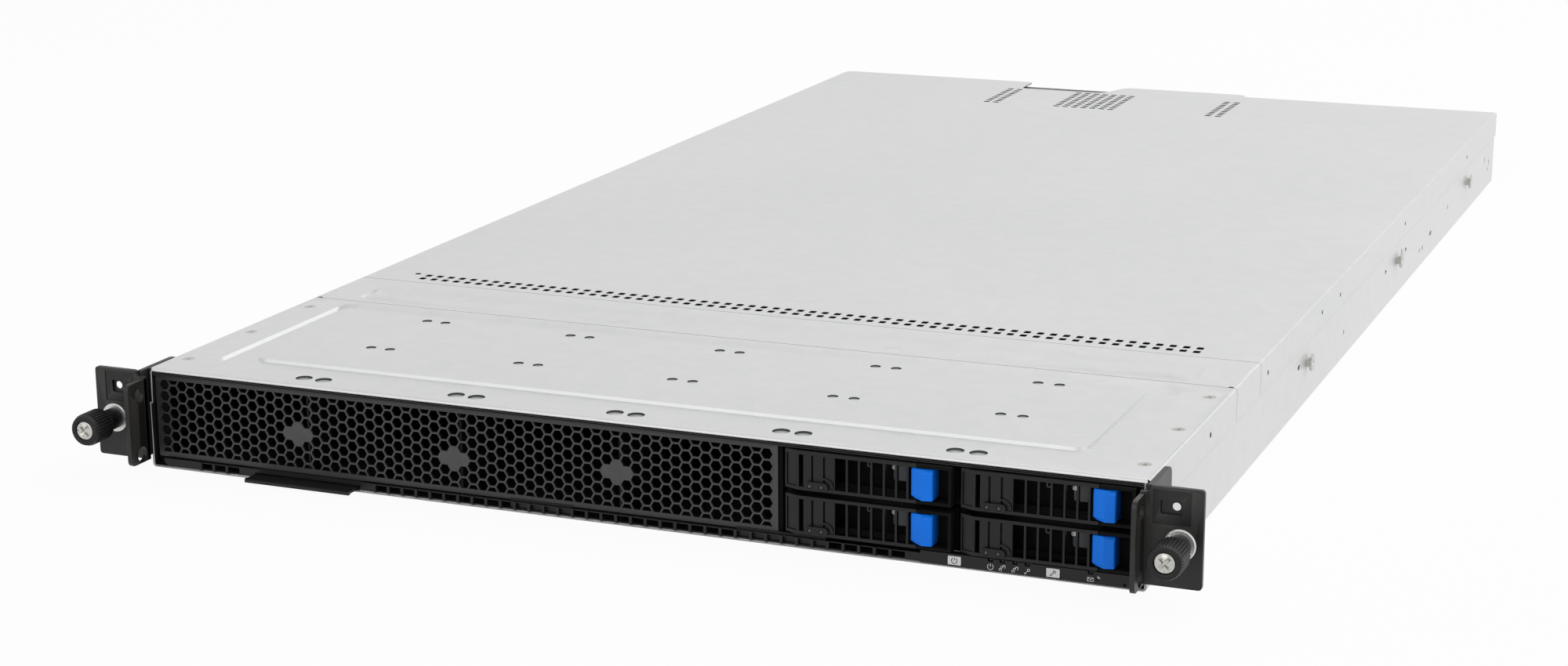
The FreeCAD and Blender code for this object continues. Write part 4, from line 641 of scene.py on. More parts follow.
@dataclass
class Studio:
    """Pale floor, soft lamps and the camera."""

    camera_at: Point3 = (478.29, -989.51, 363.81)
    azimuth: float = 22.18
    elevation: float = 14.50
    roll: float = -0.24
    lens: float = 66.22
    sensor: float = 36.0
    nearest: float = 10.0
    floor_reach: float = 6000.0
    floor_gap: float = 0.2
    floor_grey: float = 0.92
    floor_white: float = 0.94
    world_level: float = 0.42
    mirror_level: float = 0.86
    lamps: tuple[Lamp, ...] = (
        Lamp("overhead_softbox", (800.0, 1150.0, 1800.0), (0.0, 500.0, 0.0), 2600.0, 25.0),
        Lamp("right_softbox", (2100.0, -300.0, 900.0), (0.0, 300.0, 0.0), 2000.0, 6.0),
        Lamp("front_softbox", (-500.0, -2200.0, 700.0), (0.0, 0.0, 20.0), 2400.0, 18.0))

    def build(self) -> None:
        """Builds the floor, the world, the lamps and the camera."""
        self.floor()
        self.world()
        for lamp in self.lamps:
            lamp.build()
        self.camera()
        bpy.context.scene.view_settings.view_transform = "Standard"

    def floor(self) -> None:
        """Plain pale floor just under the chassis, which glows where it is seen."""
        reach = self.floor_reach * MM
        mesh = bpy.data.meshes.new("studio_floor")
        level = CAD_BOUNDS[0][2] - self.floor_gap * MM
        mesh.from_pydata([(x, y, level) for x, y in block(-reach, reach, -reach, reach)], [], [(0, 1, 2, 3)])
        made = place_object("studio_floor", mesh)
        paint = bpy.data.materials.new("pale_floor")
        paint.use_nodes = True
        tree = paint.node_tree
        tree.nodes.clear()
        matt = add_node(tree, "BsdfDiffuse", {"Color": (*[self.floor_grey] * 3, 1.0)})
        glow = add_node(tree, "Emission")
        share = add_node(tree, "Math", {1: self.floor_white}, {0: self.seen(tree)}, operation="MULTIPLY")
        mix = add_node(tree, "MixShader", links={"Fac": share.outputs["Value"], 1: matt.outputs["BSDF"],
                                                 2: glow.outputs["Emission"]})
        add_node(tree, "OutputMaterial", links={"Surface": mix.outputs["Shader"]})
        mesh.materials.append(paint)

    def seen(self, tree: Tree) -> Socket:
        """1 for rays that show the background directly, in a reflection or through glass.

        Args:
            tree: the material's or the world's nodes.

        Returns:
            Socket with 0 or 1.
        """
        path = add_node(tree, "LightPath")
        total = path.outputs["Is Camera Ray"]
        for name in ("Is Glossy Ray", "Is Transmission Ray"):
            total = add_node(tree, "Math", links={0: total, 1: path.outputs[name]},
                             operation="MAXIMUM").outputs["Value"]
        return total

    def world(self) -> None:
        """White surroundings that light the object gently."""
        world = bpy.data.worlds.new("pale_surroundings")
        bpy.context.scene.world = world
        world.use_nodes = True
        tree = world.node_tree
        back = tree.nodes["Background"]
        back.inputs["Color"].default_value = (1.0, 1.0, 1.0, 1.0)
        level = add_node(tree, "MapRange", {"To Min": self.world_level, "To Max": self.mirror_level},
                         {"Value": self.seen(tree)})
        path = add_node(tree, "LightPath")
        full = add_node(tree, "Math", links={0: path.outputs["Is Camera Ray"], 1: level.outputs["Result"]},
                        operation="MAXIMUM")
        tree.links.new(full.outputs["Value"], back.inputs["Strength"])

    def camera(self) -> None:
        """Camera at the front right, above the rack server."""
        lens = bpy.data.cameras.new("camera")
        lens.lens = self.lens
        lens.sensor_width = self.sensor
        lens.clip_start = self.nearest * MM
        made = place_object("camera", lens)
        made.rotation_euler = (Matrix.Rotation(math.radians(self.azimuth), 3, "Z")
                               @ Matrix.Rotation(math.radians(90.0 - self.elevation), 3, "X")
                               @ Matrix.Rotation(math.radians(self.roll), 3, "Z")).to_euler()
        made.location = Vector(self.camera_at) * MM
        bpy.context.scene.camera = made


# ---- covers -----------------------------------------------------------------------------------

def centred(half: float, y0: float, y1: float, radius: float) -> list[Point2]:
    """Closed rectangle with round corners that lies evenly about the middle."""
    return rounded(-half, half, y0, y1, radius)


@dataclass(frozen=True)
class CrossHead:
    """Round screw face with a tapered cross recess; depth is the recess floor's height from the face."""

    rim: float
    arm: float
    half: float
    depth: float
    taper: float = 0.55

    def cut(self, maker: Maker, place: Point2, axis: Axis, face: float) -> None:
        """Adds the face and its recess.

        Args:
            maker: the piece being made.
            place: centre of the screw.
            axis: the screw's axis.
            face: height of the face along the axis.
        """
        a, h = self.arm, self.half
        cross = [(a, -h), (a, h), (h, h), (h, a), (-h, a), (-h, h),
                 (-a, h), (-a, -h), (-h, -h), (-h, -a), (h, -a), (h, -h)]
        lean = math.sqrt(0.5)
        mouth, floor = ([(place[0] + (x - y) * lean * share, place[1] + (x + y) * lean * share)
                         for x, y in cross] for share in (1.0, self.taper))
        maker.sheet(circle(place, self.rim), [mouth], axis, face)
        maker.slope([(mouth, face), (floor, face + self.depth)], axis, floor=True)


@dataclass
class FoldedCover:
    """Cover of bent sheet with a flange down each side."""

    sheet: float = 0.6
    bend: float = 1.3
    turn_steps: int = 6

    def flanges(self, maker: Maker, at: Extent, y0: float, y1: float, holes: Sequence[Outline] = ()) -> None:
        """Adds the bends and the flanges.

        Args:
            maker: the piece being made.
            at: the cover's limits.
            y0: front end.
            y1: rear end.
            holes: outlines of holes in both flanges, as Y and Z.
        """
        turn = arc((at.x1 - self.bend, at.z1 - self.bend), self.bend, 90, -90, self.turn_steps)
        for side in Side:
            s = side.value
            maker.wall([(s * x, z) for x, z in turn], Axis.Y, y0, y1, closed=False)
            maker.sheet(block(y0, y1, at.z0, at.z1 - self.bend), holes, Axis.X, s * at.x1)


@dataclass
class FrontCover(FoldedCover):
    """Fixed front cover: sunken moat round a plateau, pockets, dimples and countersunk screws.

    A pair has a middle, a distance to each of its two holes and a radius. Lengths along Y count from
    the cover's front edge, and depths from its top.
    """

    lip: float = 1.6
    moat_out: Point2 = (199.3, 11.0)
    moat_ys: Point2 = (16.0, 132.6)
    moat_depth: float = 1.35
    moat_ramp: float = 1.1
    rear_ramp: float = 4.0
    plateau: Point2 = (185.6, 6.0)
    plateau_ys: Point2 = (30.5, 120.0)
    plateau_ramp: float = 0.5
    screw_x: float = 211.65
    screw_ys: tuple[float, ...] = (18.8, 68.7, 118.6)
    screw_sink: float = 0.06
    screw_head: CrossHead = CrossHead(2.74, 1.25, 0.32, -0.9)
    screw_rows: tuple[Point2, ...] = ((2.74, 0.0), (1.4, -1.2), (1.4, -2.1))
    countersink: tuple[Point2, Point2] = ((2.85, 0.0), (1.75, 1.1))
    pairs: int = 5
    pocket_x0: float = -143.8
    pocket_pitch: float = 72.0
    pocket_half: float = 4.68
    pocket_y: float = 9.7
    pocket_r: float = 3.6
    pocket_depth: float = 1.0
    dimple_mid: float = 0.95
    dimple_pitch: float = 71.95
    dimple_half: float = 4.65
    dimple_ys: tuple[float, ...] = (63.8, 114.0)
    dimple_r: float = 2.3
    dimple_depth: float = 0.7
    press: tuple[Point2, ...] = ((0.0, 0.0), (0.12, 0.9), (0.45, 1.0))
    flange_hole: Point3 = (91.0, 35.8, 1.2)

    def build(self) -> None:
        """Builds the cover and its screws."""
        at = Extent.of("front_cover")
        top, front = at.z1, at.y0
        bottom = top - self.moat_depth
        reach = at.x1 - self.bend
        half, corner = self.moat_out
        y0, y1 = (front + y for y in self.moat_ys)
        moat = centred(half, y0, y1, corner)
        inset = self.moat_ramp
        bed = centred(half - inset, y0 + inset, y1 - self.rear_ramp, corner - inset)
        half, corner = self.plateau
        y0, y1 = (front + y for y in self.plateau_ys)
        table = centred(half, y0, y1, corner)
        out = self.plateau_ramp
        foot = centred(half + out, y0 - out, y1 + out, corner + out)
        spots = [(self.pocket_x0 + i * self.pocket_pitch + s * self.pocket_half, front + self.pocket_y)
                 for i in range(self.pairs) for s in (-1, 1)]
        middle = self.pairs // 2
        dimples = [(self.dimple_mid + (i - middle) * self.dimple_pitch + s * self.dimple_half, front + y)
                   for i in range(self.pairs) for s in (-1, 1) for y in self.dimple_ys]
        screws = [(side.value * self.screw_x, front + y) for side in Side for y in self.screw_ys]
        holes = [circle(p, self.pocket_r) for p in spots]
        holes += [circle(p, self.countersink[0][0]) for p in screws]
        # Zinc outside; cut edges and pocket walls in the darker edge steel, partly painted shade; the inner
        # skin in painted shade.
        maker = Maker(ZINC, CUT_EDGE_AND_SHADE, PAINTED_SHADE_STEEL)
        maker.sheet(block(-reach, reach, front + self.bend, at.y1), [moat, *holes], Axis.Z, top)
        maker.slope([(moat, top), (bed, bottom)])
        maker.sheet(bed, [foot], Axis.Z, bottom)
        maker.slope([(foot, bottom), (table, top)])
        maker.sheet(table, [circle(p, self.dimple_r) for p in dimples], Axis.Z, top)
        for places, radius, depth in ((spots, self.pocket_r, self.pocket_depth),
                                      (dimples, self.dimple_r, self.dimple_depth)):
            for p in places:
                rims = [(circle(p, radius - step), top - depth * share) for step, share in self.press]
                # The upper ring of each pocket's and dimple's wall takes the darker edge finish as painted
                # shade.
                maker.slope(rims[:2], dress=1)
                maker.slope(rims[1:], floor=True)
        for p in screws:
            maker.slope([(circle(p, r), top - depth) for r, depth in self.countersink])
        y, z, r = self.flange_hole
        self.flanges(maker, at, front, at.y1, [circle((front + y, z), r)])
        self.front_roll(maker, at)
        maker.piece("front_cover_sheet", "chassis", "galvanised_steel", ["front_cover"], self.sheet)
        for i, p in enumerate(screws):
            self.screw(i, p, top - self.screw_sink)

    def front_roll(self, maker: Maker, at: Extent) -> None:
        """Adds the bend and the lip along the front edge.

        Args:
            maker: the piece being made.
            at: the cover's limits.
        """
        turn = arc((at.y0 + self.bend, at.z1 - self.bend), self.bend, 90, 90, self.turn_steps)
        turn.append((at.y0, at.z1 - self.lip))
        reach = at.x1 - self.bend
        maker.wall(turn, Axis.X, -reach, reach, closed=False)

    def screw(self, number: int, place: Point2, face: float) -> None:
        """One countersunk screw with a cross recess.

        Args:
            number: which screw, from 0.
            place: its centre.
            face: height of its face.
        """
        maker = Maker(NICKEL)
        self.screw_head.cut(maker, place, Axis.Z, face)
        maker.turned(place, Axis.Z, self.screw_rows, ROUND_SIDES, open_ends=True, base=face)
        maker.piece(f"cover_screw_{number + 1}", "chassis", "nickel_steel",
                    ["cover_screws"] if number == 0 else [])


@dataclass
class BridgeCover(FoldedCover):
    """Cross bridge between the covers, with a long sunken strip and two shallow round marks."""

    strip_x: float = 200.0
    strip_ys: Point2 = (3.4, 31.0)
    ramp: float = 1.2
    rear_ramp: float = 5.8
    depth: float = 0.9
    corners: Point2 = (7.0, 5.0)
    notch_xs: Point2 = (2.6, 0.6)
    notch_ys: Point2 = (0.01, 1.4)
    mark_xs: Point2 = (-65.9, 64.9)
    mark_y: float = 9.1
    mark_r: float = 4.8
    mark_ramp: float = 0.25
    mark_depth: float = 0.14

    def build(self) -> None:
        """Builds the bridge."""
        at = Extent.of("mid_bridge")
        reach = at.x1 - self.bend
        y0, y1 = (at.y0 + y for y in self.strip_ys)
        top, bottom = at.z1, at.z1 - self.depth
        rim = centred(self.strip_x, y0, y1, self.corners[0])
        bed = centred(self.strip_x - self.ramp, y0 + self.ramp, y1 - self.rear_ramp, self.corners[1])
        notch = block(*[reach - x for x in self.notch_xs], *[at.y0 + y for y in self.notch_ys])
        marks = [(x, at.y0 + self.mark_y) for x in self.mark_xs]
        # Zinc outside; cut edges in the darker edge steel, partly painted shade; the inner skin in painted
        # shade.
        maker = Maker(ZINC, CUT_EDGE_AND_SHADE, PAINTED_SHADE_STEEL)
        maker.sheet(block(-reach, reach, at.y0, at.y1), [rim, notch, flipped(notch)], Axis.Z, top)
        maker.slope([(rim, top), (bed, bottom)])
        maker.sheet(bed, [circle(p, self.mark_r) for p in marks], Axis.Z, bottom)
        for p in marks:
            maker.slope([(circle(p, self.mark_r), bottom),
                         (circle(p, self.mark_r - self.mark_ramp), bottom - self.mark_depth)], floor=True)
        self.flanges(maker, at, at.y0, at.y1)
        maker.piece("bridge_cover_sheet", "chassis", "galvanised_steel", ["mid_bridge"], self.sheet)


class Rear(Enum):
    """Lines that the sliding cover's rear edge runs along."""

    EDGE = "edge"
    TAB = "tab"
    NOTCH = "notch"


@dataclass
class SlidingCover(FoldedCover):
    """Rear cover that slides: two rows of slots in front, vent patches and tabs at the rear.

    A patch has its first column, the pitch of its columns and their number. A corner of the rear edge
    has its X, the line that it lies on and its easing.
    """

    slot: Point2 = (3.2, 3.9)
    patch_slot: Point2 = (3.9, 2.9)
    slot_r: float = 0.7
    slot_steps: int = 2
    row_ys: tuple[float, ...] = (7.7, 13.9)
    row_x0: float = -190.2
    row_pitch: float = 6.02
    row_count: int = 64
    pin_hole: Point3 = (-197.0, 15.4, 1.5)
    small_sides: int = 16
    patch_y0: float = 571.4
    patch_pitch_y: float = 5.66
    patch_rows: int = 10
    patches: tuple[tuple[float, float, int], ...] = ((-91.8, 6.1, 2), (-45.4, 5.94, 7), (53.05, 6.4, 2))
    rear_edge: float = 829.5
    notch_deep: float = 17.5
    rear_corners: tuple[tuple[float, Rear, float], ...] = (
        (59.0, Rear.EDGE, 2.0), (57.0, Rear.TAB, 3.0), (-22.0, Rear.TAB, 5.0),
        (-31.0, Rear.NOTCH, 6.0), (-86.0, Rear.NOTCH, 3.0), (-86.0, Rear.TAB, 4.0))
    end_ease: float = 5.0
    flange_marks: tuple[Point2, ...] = ((197.4, 35.8), (308.8, 36.5), (350.5, 35.4), (518.9, 35.8),
                                        (718.5, 35.3))
    flange_mark_r: float = 1.1

    def build(self) -> None:
        """Builds the sliding cover."""
        at = Extent.of("top_cover")
        holes = [self.slot_at(self.row_x0 + i * self.row_pitch, at.y0 + y, self.slot)
                 for y in self.row_ys for i in range(self.row_count)]
        y0, step = at.y0 + self.patch_y0, self.patch_pitch_y
        for x0, pitch, columns in self.patches:
            holes += [self.slot_at(x0 + i * pitch, y0 + k * step, self.patch_slot)
                      for i in range(columns) for k in range(self.patch_rows)]
        x, y, r = self.pin_hole
        holes.append(circle((x, at.y0 + y), r, self.small_sides))
        # Zinc outside; cut edges in the darker edge steel, partly painted shade; the inner skin in painted
        # shade.
        maker = Maker(ZINC, CUT_EDGE_AND_SHADE, PAINTED_SHADE_STEEL)
        maker.sheet(self.edge(at), holes, Axis.Z, at.z1)
        marks = [circle(p, self.flange_mark_r, self.small_sides) for p in self.flange_marks]
        self.flanges(maker, at, at.y0, self.rear_edge, marks)
        maker.piece("sliding_cover_sheet", "lid", "galvanised_steel", ["top_cover"], self.sheet)

    def slot_at(self, x: float, y: float, size: Point2) -> list[Point2]:
        """Outline of one slot about a point."""
        a, b = size[0] / 2, size[1] / 2
        return rounded(x - a, x + a, y - b, y + b, self.slot_r, self.slot_steps)

    def edge(self, at: Extent) -> list[Point2]:
        """Outline of the top sheet: straight in front, tabs and a notch at the rear.

        Args:
            at: the cover's limits.

        Returns:
            The outline.
        """
        reach = at.x1 - self.bend
        lines = {Rear.EDGE: self.rear_edge, Rear.TAB: at.y1, Rear.NOTCH: self.rear_edge - self.notch_deep}
        rear = [(x, lines[line], ease) for x, line, ease in self.rear_corners]
        return eased([(-reach, at.y0, 0), (reach, at.y0, 0), (reach, self.rear_edge, 0), *rear,
                      (-reach, at.y1, self.end_ease), (-reach, self.rear_edge, 0)])


# ---- chassis walls ----------------------------------------------------------------------------

@dataclass
class ChassisPan:
    """Floor and side walls of one folded sheet, with holes, pressed marks and the covers' lips.

    A hole has its Y, its Z and its radius, and a slot its Y, its Z and its length.
    """

    sheet: float = 1.0
    bend: float = 1.6
    bend_steps: int = 6
    round_holes: tuple[Point3, ...] = (
        (363.8, 13.6, 1.3), (514.4, 21.4, 1.8), (569.1, 10.4, 1.5), (578.7, 9.9, 1.5), (658.4, 17.1, 1.4),
        (790.2, 20.4, 1.6), (808.5, 16.5, 1.6), (804.5, 12.3, 1.4))
    hole_sides: int = 18
    slots: tuple[Point3, ...] = ((263.1, 21.3, 5.0), (603.4, 13.1, 6.0))
    slot_high: float = 2.6
    slot_steps: int = 4
    full_round: float = 0.99
    gap: float = 0.3
    marks: tuple[Point2, ...] = ((470.8, 20.2), (527.0, 20.3))
    mark_reach: float = 2.6
    mark_back: float = 0.8
    mark_point: float = 0.6
    mark_root: float = 0.05
    mark_proud: float = 0.06
    lip_w: float = 12.0
    lip_gap: float = 0.05
    lip_front: float = 8.0
    lip_rear: float = 1.0

    def build(self) -> None:
        """Builds the pan, its cover lips and the pressed marks."""
        at = Extent.of("base_pan")
        high = Extent.of("front_cover").z0 - self.gap
        reach = at.x1 - self.bend
        shoulder = Extent.of("rear_panel").x1 + self.sheet
        half = self.slot_high / 2
        corner = half * self.full_round
        holes = [circle((y, z), r, self.hole_sides) for y, z, r in self.round_holes]
        holes += [rounded(y - long / 2, y + long / 2, z - half, z + half, corner, self.slot_steps)
                  for y, z, long in self.slots]
        turn = arc((reach, at.z0 + self.bend), self.bend, -90, 90, self.bend_steps)
        step = [(at.x1, high), (shoulder, high), (shoulder, at.z1 - self.gap)]
        # Zinc outside and on the cut edges; the inner skin takes painted shade.
        maker = Maker(ZINC, PAINTED_SHADE_STEEL)
        maker.sheet(block(-reach, reach, at.y0, at.y1), [], Axis.Z, at.z0)
        for side in Side:
            s = side.value
            maker.wall([(s * x, z) for x, z in turn], Axis.Y, at.y0, at.y1, closed=False)
            maker.sheet(block(at.y0, at.y1, at.z0 + self.bend, high), holes, Axis.X, s * at.x1)
            maker.wall([(s * x, z) for x, z in step], Axis.Y, at.y0, at.y1, closed=False)
        maker.piece("chassis_pan_sheet", "chassis", "galvanised_steel", ["base_pan"], self.sheet,
                    (0.0, 0.0, -1.0), 0)
        self.lips(shoulder)
        for i, side in enumerate(Side):
            self.pressed_marks(i, side, at.x1)

    def lips(self, shoulder: float) -> None:
        """Inward lips that the fixed covers are screwed to.

        Args:
            shoulder: distance of the walls' upper part from the middle.
        """
        cover = Extent.of("front_cover")
        top = cover.z1 - self.sheet - self.lip_gap
        ys = (cover.y0 + self.lip_front, Extent.of("mid_bridge").y1 - self.lip_rear)
        maker = Maker(ZINC)
        for side in Side:
            xs = side.span(shoulder - self.lip_w, shoulder - self.sheet)
            maker.plate(block(*xs, *ys), Axis.Z, top - self.sheet, top)
        maker.piece("cover_lips", "chassis", "galvanised_steel", bevel=0.1)

    def pressed_marks(self, number: int, side: Side, face: float) -> None:
        """Small triangular locating marks on a wall.

        Args:
            number: which wall, from 0.
            side: its side.
            face: distance of its outer face from the middle.
        """
        maker = Maker(DARK_MARK)
        r = self.mark_reach
        back, point = r * self.mark_back, r * self.mark_point
        xs = side.span(face - self.mark_root, face + self.mark_proud)
        for y, z in self.marks:
            maker.plate([(y - back, z - r / 2), (y + point, z), (y - back, z + r / 2)], Axis.X, *xs)
        maker.piece(f"wall_marks_{number + 1}", "chassis", "galvanised_steel", bevel=0.02)


@dataclass
class RailStuds:
    """Headed studs on the side walls; a head row has its radius and its distance from the stud's end."""

    ys: tuple[float, ...] = (279.0, 500.5, 722.3)
    z: float = 20.0
    shank: float = 2.2
    root: float = 0.2
    head_rows: tuple[Point2, ...] = ((2.2, 1.25), (3.75, 1.2), (3.95, 1.0), (3.95, 0.25), (3.65, 0.02),
                                     (1.3, 0.02), (0.9, 0.5))
    sides: int = 32

    def build(self) -> None:
        """Builds the studs of both sides as one piece."""
        end = Extent.of("rail_studs").x1
        root = Extent.of("base_pan").x1 - self.root
        rows = [(self.shank, root), *((r, end - back) for r, back in self.head_rows)]
        maker = Maker(NICKEL)
        for side in Side:
            for y in self.ys:
                maker.turned((y, self.z), Axis.X, [(r, side.value * x) for r, x in rows], self.sides)
        maker.piece("rail_stud_heads", "chassis", "nickel_steel", ["rail_studs"])


# ---- ears and thumbscrews ---------------------------------------------------------------------

@dataclass
class Ear:
    """Bent ear: face plate with a window, flange along the chassis and a pierced inner plate."""

    side: Side
    sheet: float = 2.0
    foot: float = 0.6
    corner: float = 1.6
    notch: tuple[Point3, ...] = ((2.0, 0.0, 0.8), (1.6, 2.4, 1.8))
    shoulder: float = 2.8
    step_xs: Point2 = (222.0, 236.5)
    step_zs: Point2 = (29.4, 42.6)
    step_depth: float = 0.28
    window_xs: Point2 = (224.8, 233.2)
    window_zs: Point2 = (33.3, 38.6)
    window_r: float = 0.5
    window_depth: float = 1.4
    window_hole: Point3 = (230.6, 36.2, 1.6)
    ferrule_r: float = 5.7
    plate_top: float = 40.5
    plate_corner: float = 3.0
    plate_holes: tuple[float, ...] = (8.4, 34.1)
    plate_hole_y: float = -6.0
    plate_hole_r: float = 3.25
    flange_top: float = 0.35
    flange_corner: float = 4.5
    chassis_gap: float = 0.3

    def build(self) -> None:
        """Builds the face plate, the inner plate and the flange."""
        at = Extent.of("right_ear")
        chassis = Extent.of("base_pan").x1 + self.chassis_gap
        low = at.z0 + self.foot
        face = eased([(at.x0, low, 0), (at.x1, low, self.corner), (at.x1, at.z1, self.corner),
                      *((chassis + x, at.z1 - drop, ease) for x, drop, ease in self.notch),
                      (at.x0, at.z1 - self.shoulder, 0)], steps=4)
        step = block(*self.step_xs, *self.step_zs)
        window = rounded(*self.window_xs, *self.window_zs, self.window_r, steps=3)
        ring = circle((SCREW_X, SCREW_Z), self.ferrule_r)
        hole = circle(self.window_hole[:2], self.window_hole[2])
        flip = flipped if self.side is Side.LEFT else list
        face, step, window, ring, hole = (flip(outline) for outline in (face, step, window, ring, hole))
        front = -self.sheet
        bed, floor = front + self.step_depth, front + self.window_depth
        maker = Maker(BLACK_STEEL)
        maker.sheet(face, [step, ring], Axis.Y, front)
        for outline, opening, y0, y1 in ((step, window, front, bed), (window, hole, bed, floor)):
            maker.wall(outline, Axis.Y, y0, y1)
            maker.sheet(outline, [opening], Axis.Y, y1)
        maker.wall(hole, Axis.Y, floor, 0.0)
        maker.wall(ring, Axis.Y, front, 0.0)
        maker.sheet(face, [ring, hole], Axis.Y, 0.0)
        maker.wall(face, Axis.Y, front, 0.0)
        name = self.side.name.lower()
        maker.piece(f"{name}_ear_face", "chassis", "black_steel", [f"{name}_ear"], bevel=0.12)
        self.plates(name, at, chassis)

    def plates(self, name: str, at: Extent, chassis: float) -> None:
        """Builds the inner plate and the flange.

        Args:
            name: the side's name.
            at: limits of the right ear.
            chassis: distance of the flange from the middle.
        """
        corner, top = self.plate_corner, self.plate_top
        inner = eased([(at.y0, at.z0, corner), (0.0, at.z0, 0), (0.0, top, 0), (at.y0, top, corner)], steps=4)
        low, top = at.z0 + self.foot, at.z1 - self.flange_top
        side = eased([(0.0, low, 0), (at.y1, low, 0), (at.y1, top, self.flange_corner), (0.0, top, 0)])
        holes = [circle((self.plate_hole_y, z), self.plate_hole_r) for z in self.plate_holes]
        for part, outline, x, cut in (("plate", inner, at.x0, holes), ("flange", side, chassis, [])):
            maker = Maker(BLACK_STEEL)
            maker.plate(outline, Axis.X, *self.side.span(x, x + self.sheet), cut)
            maker.piece(f"{name}_ear_{part}", "chassis", "black_steel", bevel=0.15)


@dataclass
class Thumbscrew:
    """Captive thumbscrew: hollow knob with a fluted grip, and a cross-head screw through it.

    A head row has how much smaller than the head it is and how far behind its face, and a tip row its
    radius and how far ahead of the tip.
    """

    side: Side
    flutes: int = 34
    flute_depth: float = 0.42
    flute_shape: tuple[float, ...] = (0.0, 0.0, 0.5, 1.0, 1.0, 0.5)
    rim: float = 0.9
    play: float = 0.02
    mouth: float = 4.3
    cup: float = 5.0
    cup_deep: float = 9.6
    bore: float = 2.55
    cross: tuple[float, float, float] = (2.9, 0.62, 0.95)
    head_rows: tuple[Point2, ...] = ((0.35, 0.12), (0.1, 0.3), (0.1, 1.1))
    shank: Point2 = (2.45, 1.2)
    tip_rows: tuple[Point2, ...] = ((2.45, 1.0), (1.9, 0.05), (0.01, 0.05))

    def build(self) -> None:
        """Builds the knob and the screw."""
        name = self.side.name.lower()
        body = f"{name}_thumbscrew"
        centre = (self.side.value * SCREW_X, SCREW_Z)
        self.knob(name, body, centre)
        at = Extent.of(f"{name}_screw")
        head = (at.x1 - at.x0) / 2
        rows = [(head - inset, at.y0 + back) for inset, back in self.head_rows]
        face_r, face = rows[0]
        rows += [(self.shank[0], at.y0 + self.shank[1]), *((r, at.y1 - ahead) for r, ahead in self.tip_rows)]
        maker = Maker(NICKEL)
        CrossHead(face_r, *self.cross).cut(maker, centre, Axis.Y, face)
        maker.turned(centre, Axis.Y, rows, open_ends=True)
        maker.piece(f"{name}_screw_turned", body, "nickel_steel", [f"{name}_screw"], bevel=0.05)

    def knob(self, name: str, body: str, centre: Point2) -> None:
        """Builds the fluted knob with its stepped front and hollow rear.

        Args:
            name: the side's name.
            body: the body it rides on.
            centre: where its axis stands, as X and Z.
        """
        at = Extent.of(f"{name}_knob")
        y0, y1, mouth, cup, bore = at.y0, at.y1, self.mouth, self.cup, self.bore
        deep = y1 - self.cup_deep
        outer = (at.x1 - at.x0) / 2 - self.play
        grip = y0 + self.rim
        rows = ((mouth, y0 + 1.0, 0.0), (mouth, y0 + 0.25, 0.0), (mouth + 0.3, y0 + 0.02, 0.0),
                (outer - 1.0, y0 + 0.02, 0.0), (outer - 0.6, y0 + 0.25, 0.0), (outer - 0.42, grip, 0.0),
                (outer - 0.1, grip + 0.5, 1.0), (outer, grip + 0.9, 1.0), (outer, y1 - 0.9, 1.0),
                (outer - 0.2, y1 - 0.3, 1.0), (outer - 0.6, y1 - 0.02, 0.4), (cup + 0.2, y1 - 0.02, 0.0),
                (cup, y1 - 0.3, 0.0), (cup, deep, 0.0), (bore, deep, 0.0), (bore, y0 + 1.3, 0.0),
                (mouth, y0 + 1.3, 0.0), (mouth, y0 + 1.0, 0.0))
        maker = Maker(BLACK_PLASTIC)
        maker.loft([self.fluted(centre, *row) for row in rows])
        maker.piece(f"{name}_knob_knurled", body, "black_plastic", [f"{name}_knob"], smooth=40.0)

    def fluted(self, centre: Point2, radius: float, y: float, share: float) -> list[Point3]:
        """Ring whose flutes are cut to a share of their depth.

        Args:
            centre: where its axis stands, as X and Z.
            radius: its radius over the crests.
            y: where it lies.
            share: share of the flutes' depth.

        Returns:
            The ring's points.
        """
        points = []
        parts = len(self.flute_shape)
        for k in range(self.flutes * parts):
            turn = 2 * math.pi * k / (self.flutes * parts)
            r = radius - self.flute_depth * share * self.flute_shape[k % parts]
            points.append((centre[0] + r * math.cos(turn), y, centre[1] + r * math.sin(turn)))
        return points


@dataclass
class Ferrules:
    """Bright ferrules in the ears and the dark barrels in front of them."""

    bore: float = 2.62
    ear: float = -2.0
    ear_r: float = 5.6
    flat: float = 0.5
    ease: float = 0.4
    ferrule_play: float = 0.05
    barrel_play: float = 0.03
    sides: int = 48

    def build(self) -> None:
        """Builds both ferrules and both barrels."""
        rim = Extent.of("thumbscrew_ferrules")
        barrel = Extent.of("thumbscrew_barrels")
        outer = rim.x1 - SCREW_X
        edge = outer - self.ferrule_play
        neck = barrel.x1 - SCREW_X - self.barrel_play
        bore, ease = self.bore, self.ease
        ferrule_rows = [(bore, rim.y0), (outer - self.flat, rim.y0), (edge, rim.y0 + ease), (edge, self.ear),
                        (self.ear_r, self.ear), (self.ear_r, rim.y1), (bore, rim.y1), (bore, rim.y0)]
        barrel_rows = [(bore, barrel.y0), (neck - ease, barrel.y0), (neck, barrel.y0 + ease),
                       (neck, barrel.y1), (bore, barrel.y1), (bore, barrel.y0)]
        zinc, dark = Maker(BRIGHT_ZINC), Maker(BLACK_PLASTIC)
        for side in Side:
            centre = (side.value * SCREW_X, SCREW_Z)
            zinc.turned(centre, Axis.Y, ferrule_rows, self.sides, open_ends=True)
            dark.turned(centre, Axis.Y, barrel_rows, self.sides, open_ends=True)
        zinc.piece("ferrules_turned", "chassis", "nickel_steel", ["thumbscrew_ferrules"], bevel=0.08)
        dark.piece("barrels_turned", "chassis", "black_steel", ["thumbscrew_barrels"], bevel=0.08)


# ---- front ------------------------------------------------------------------------------------

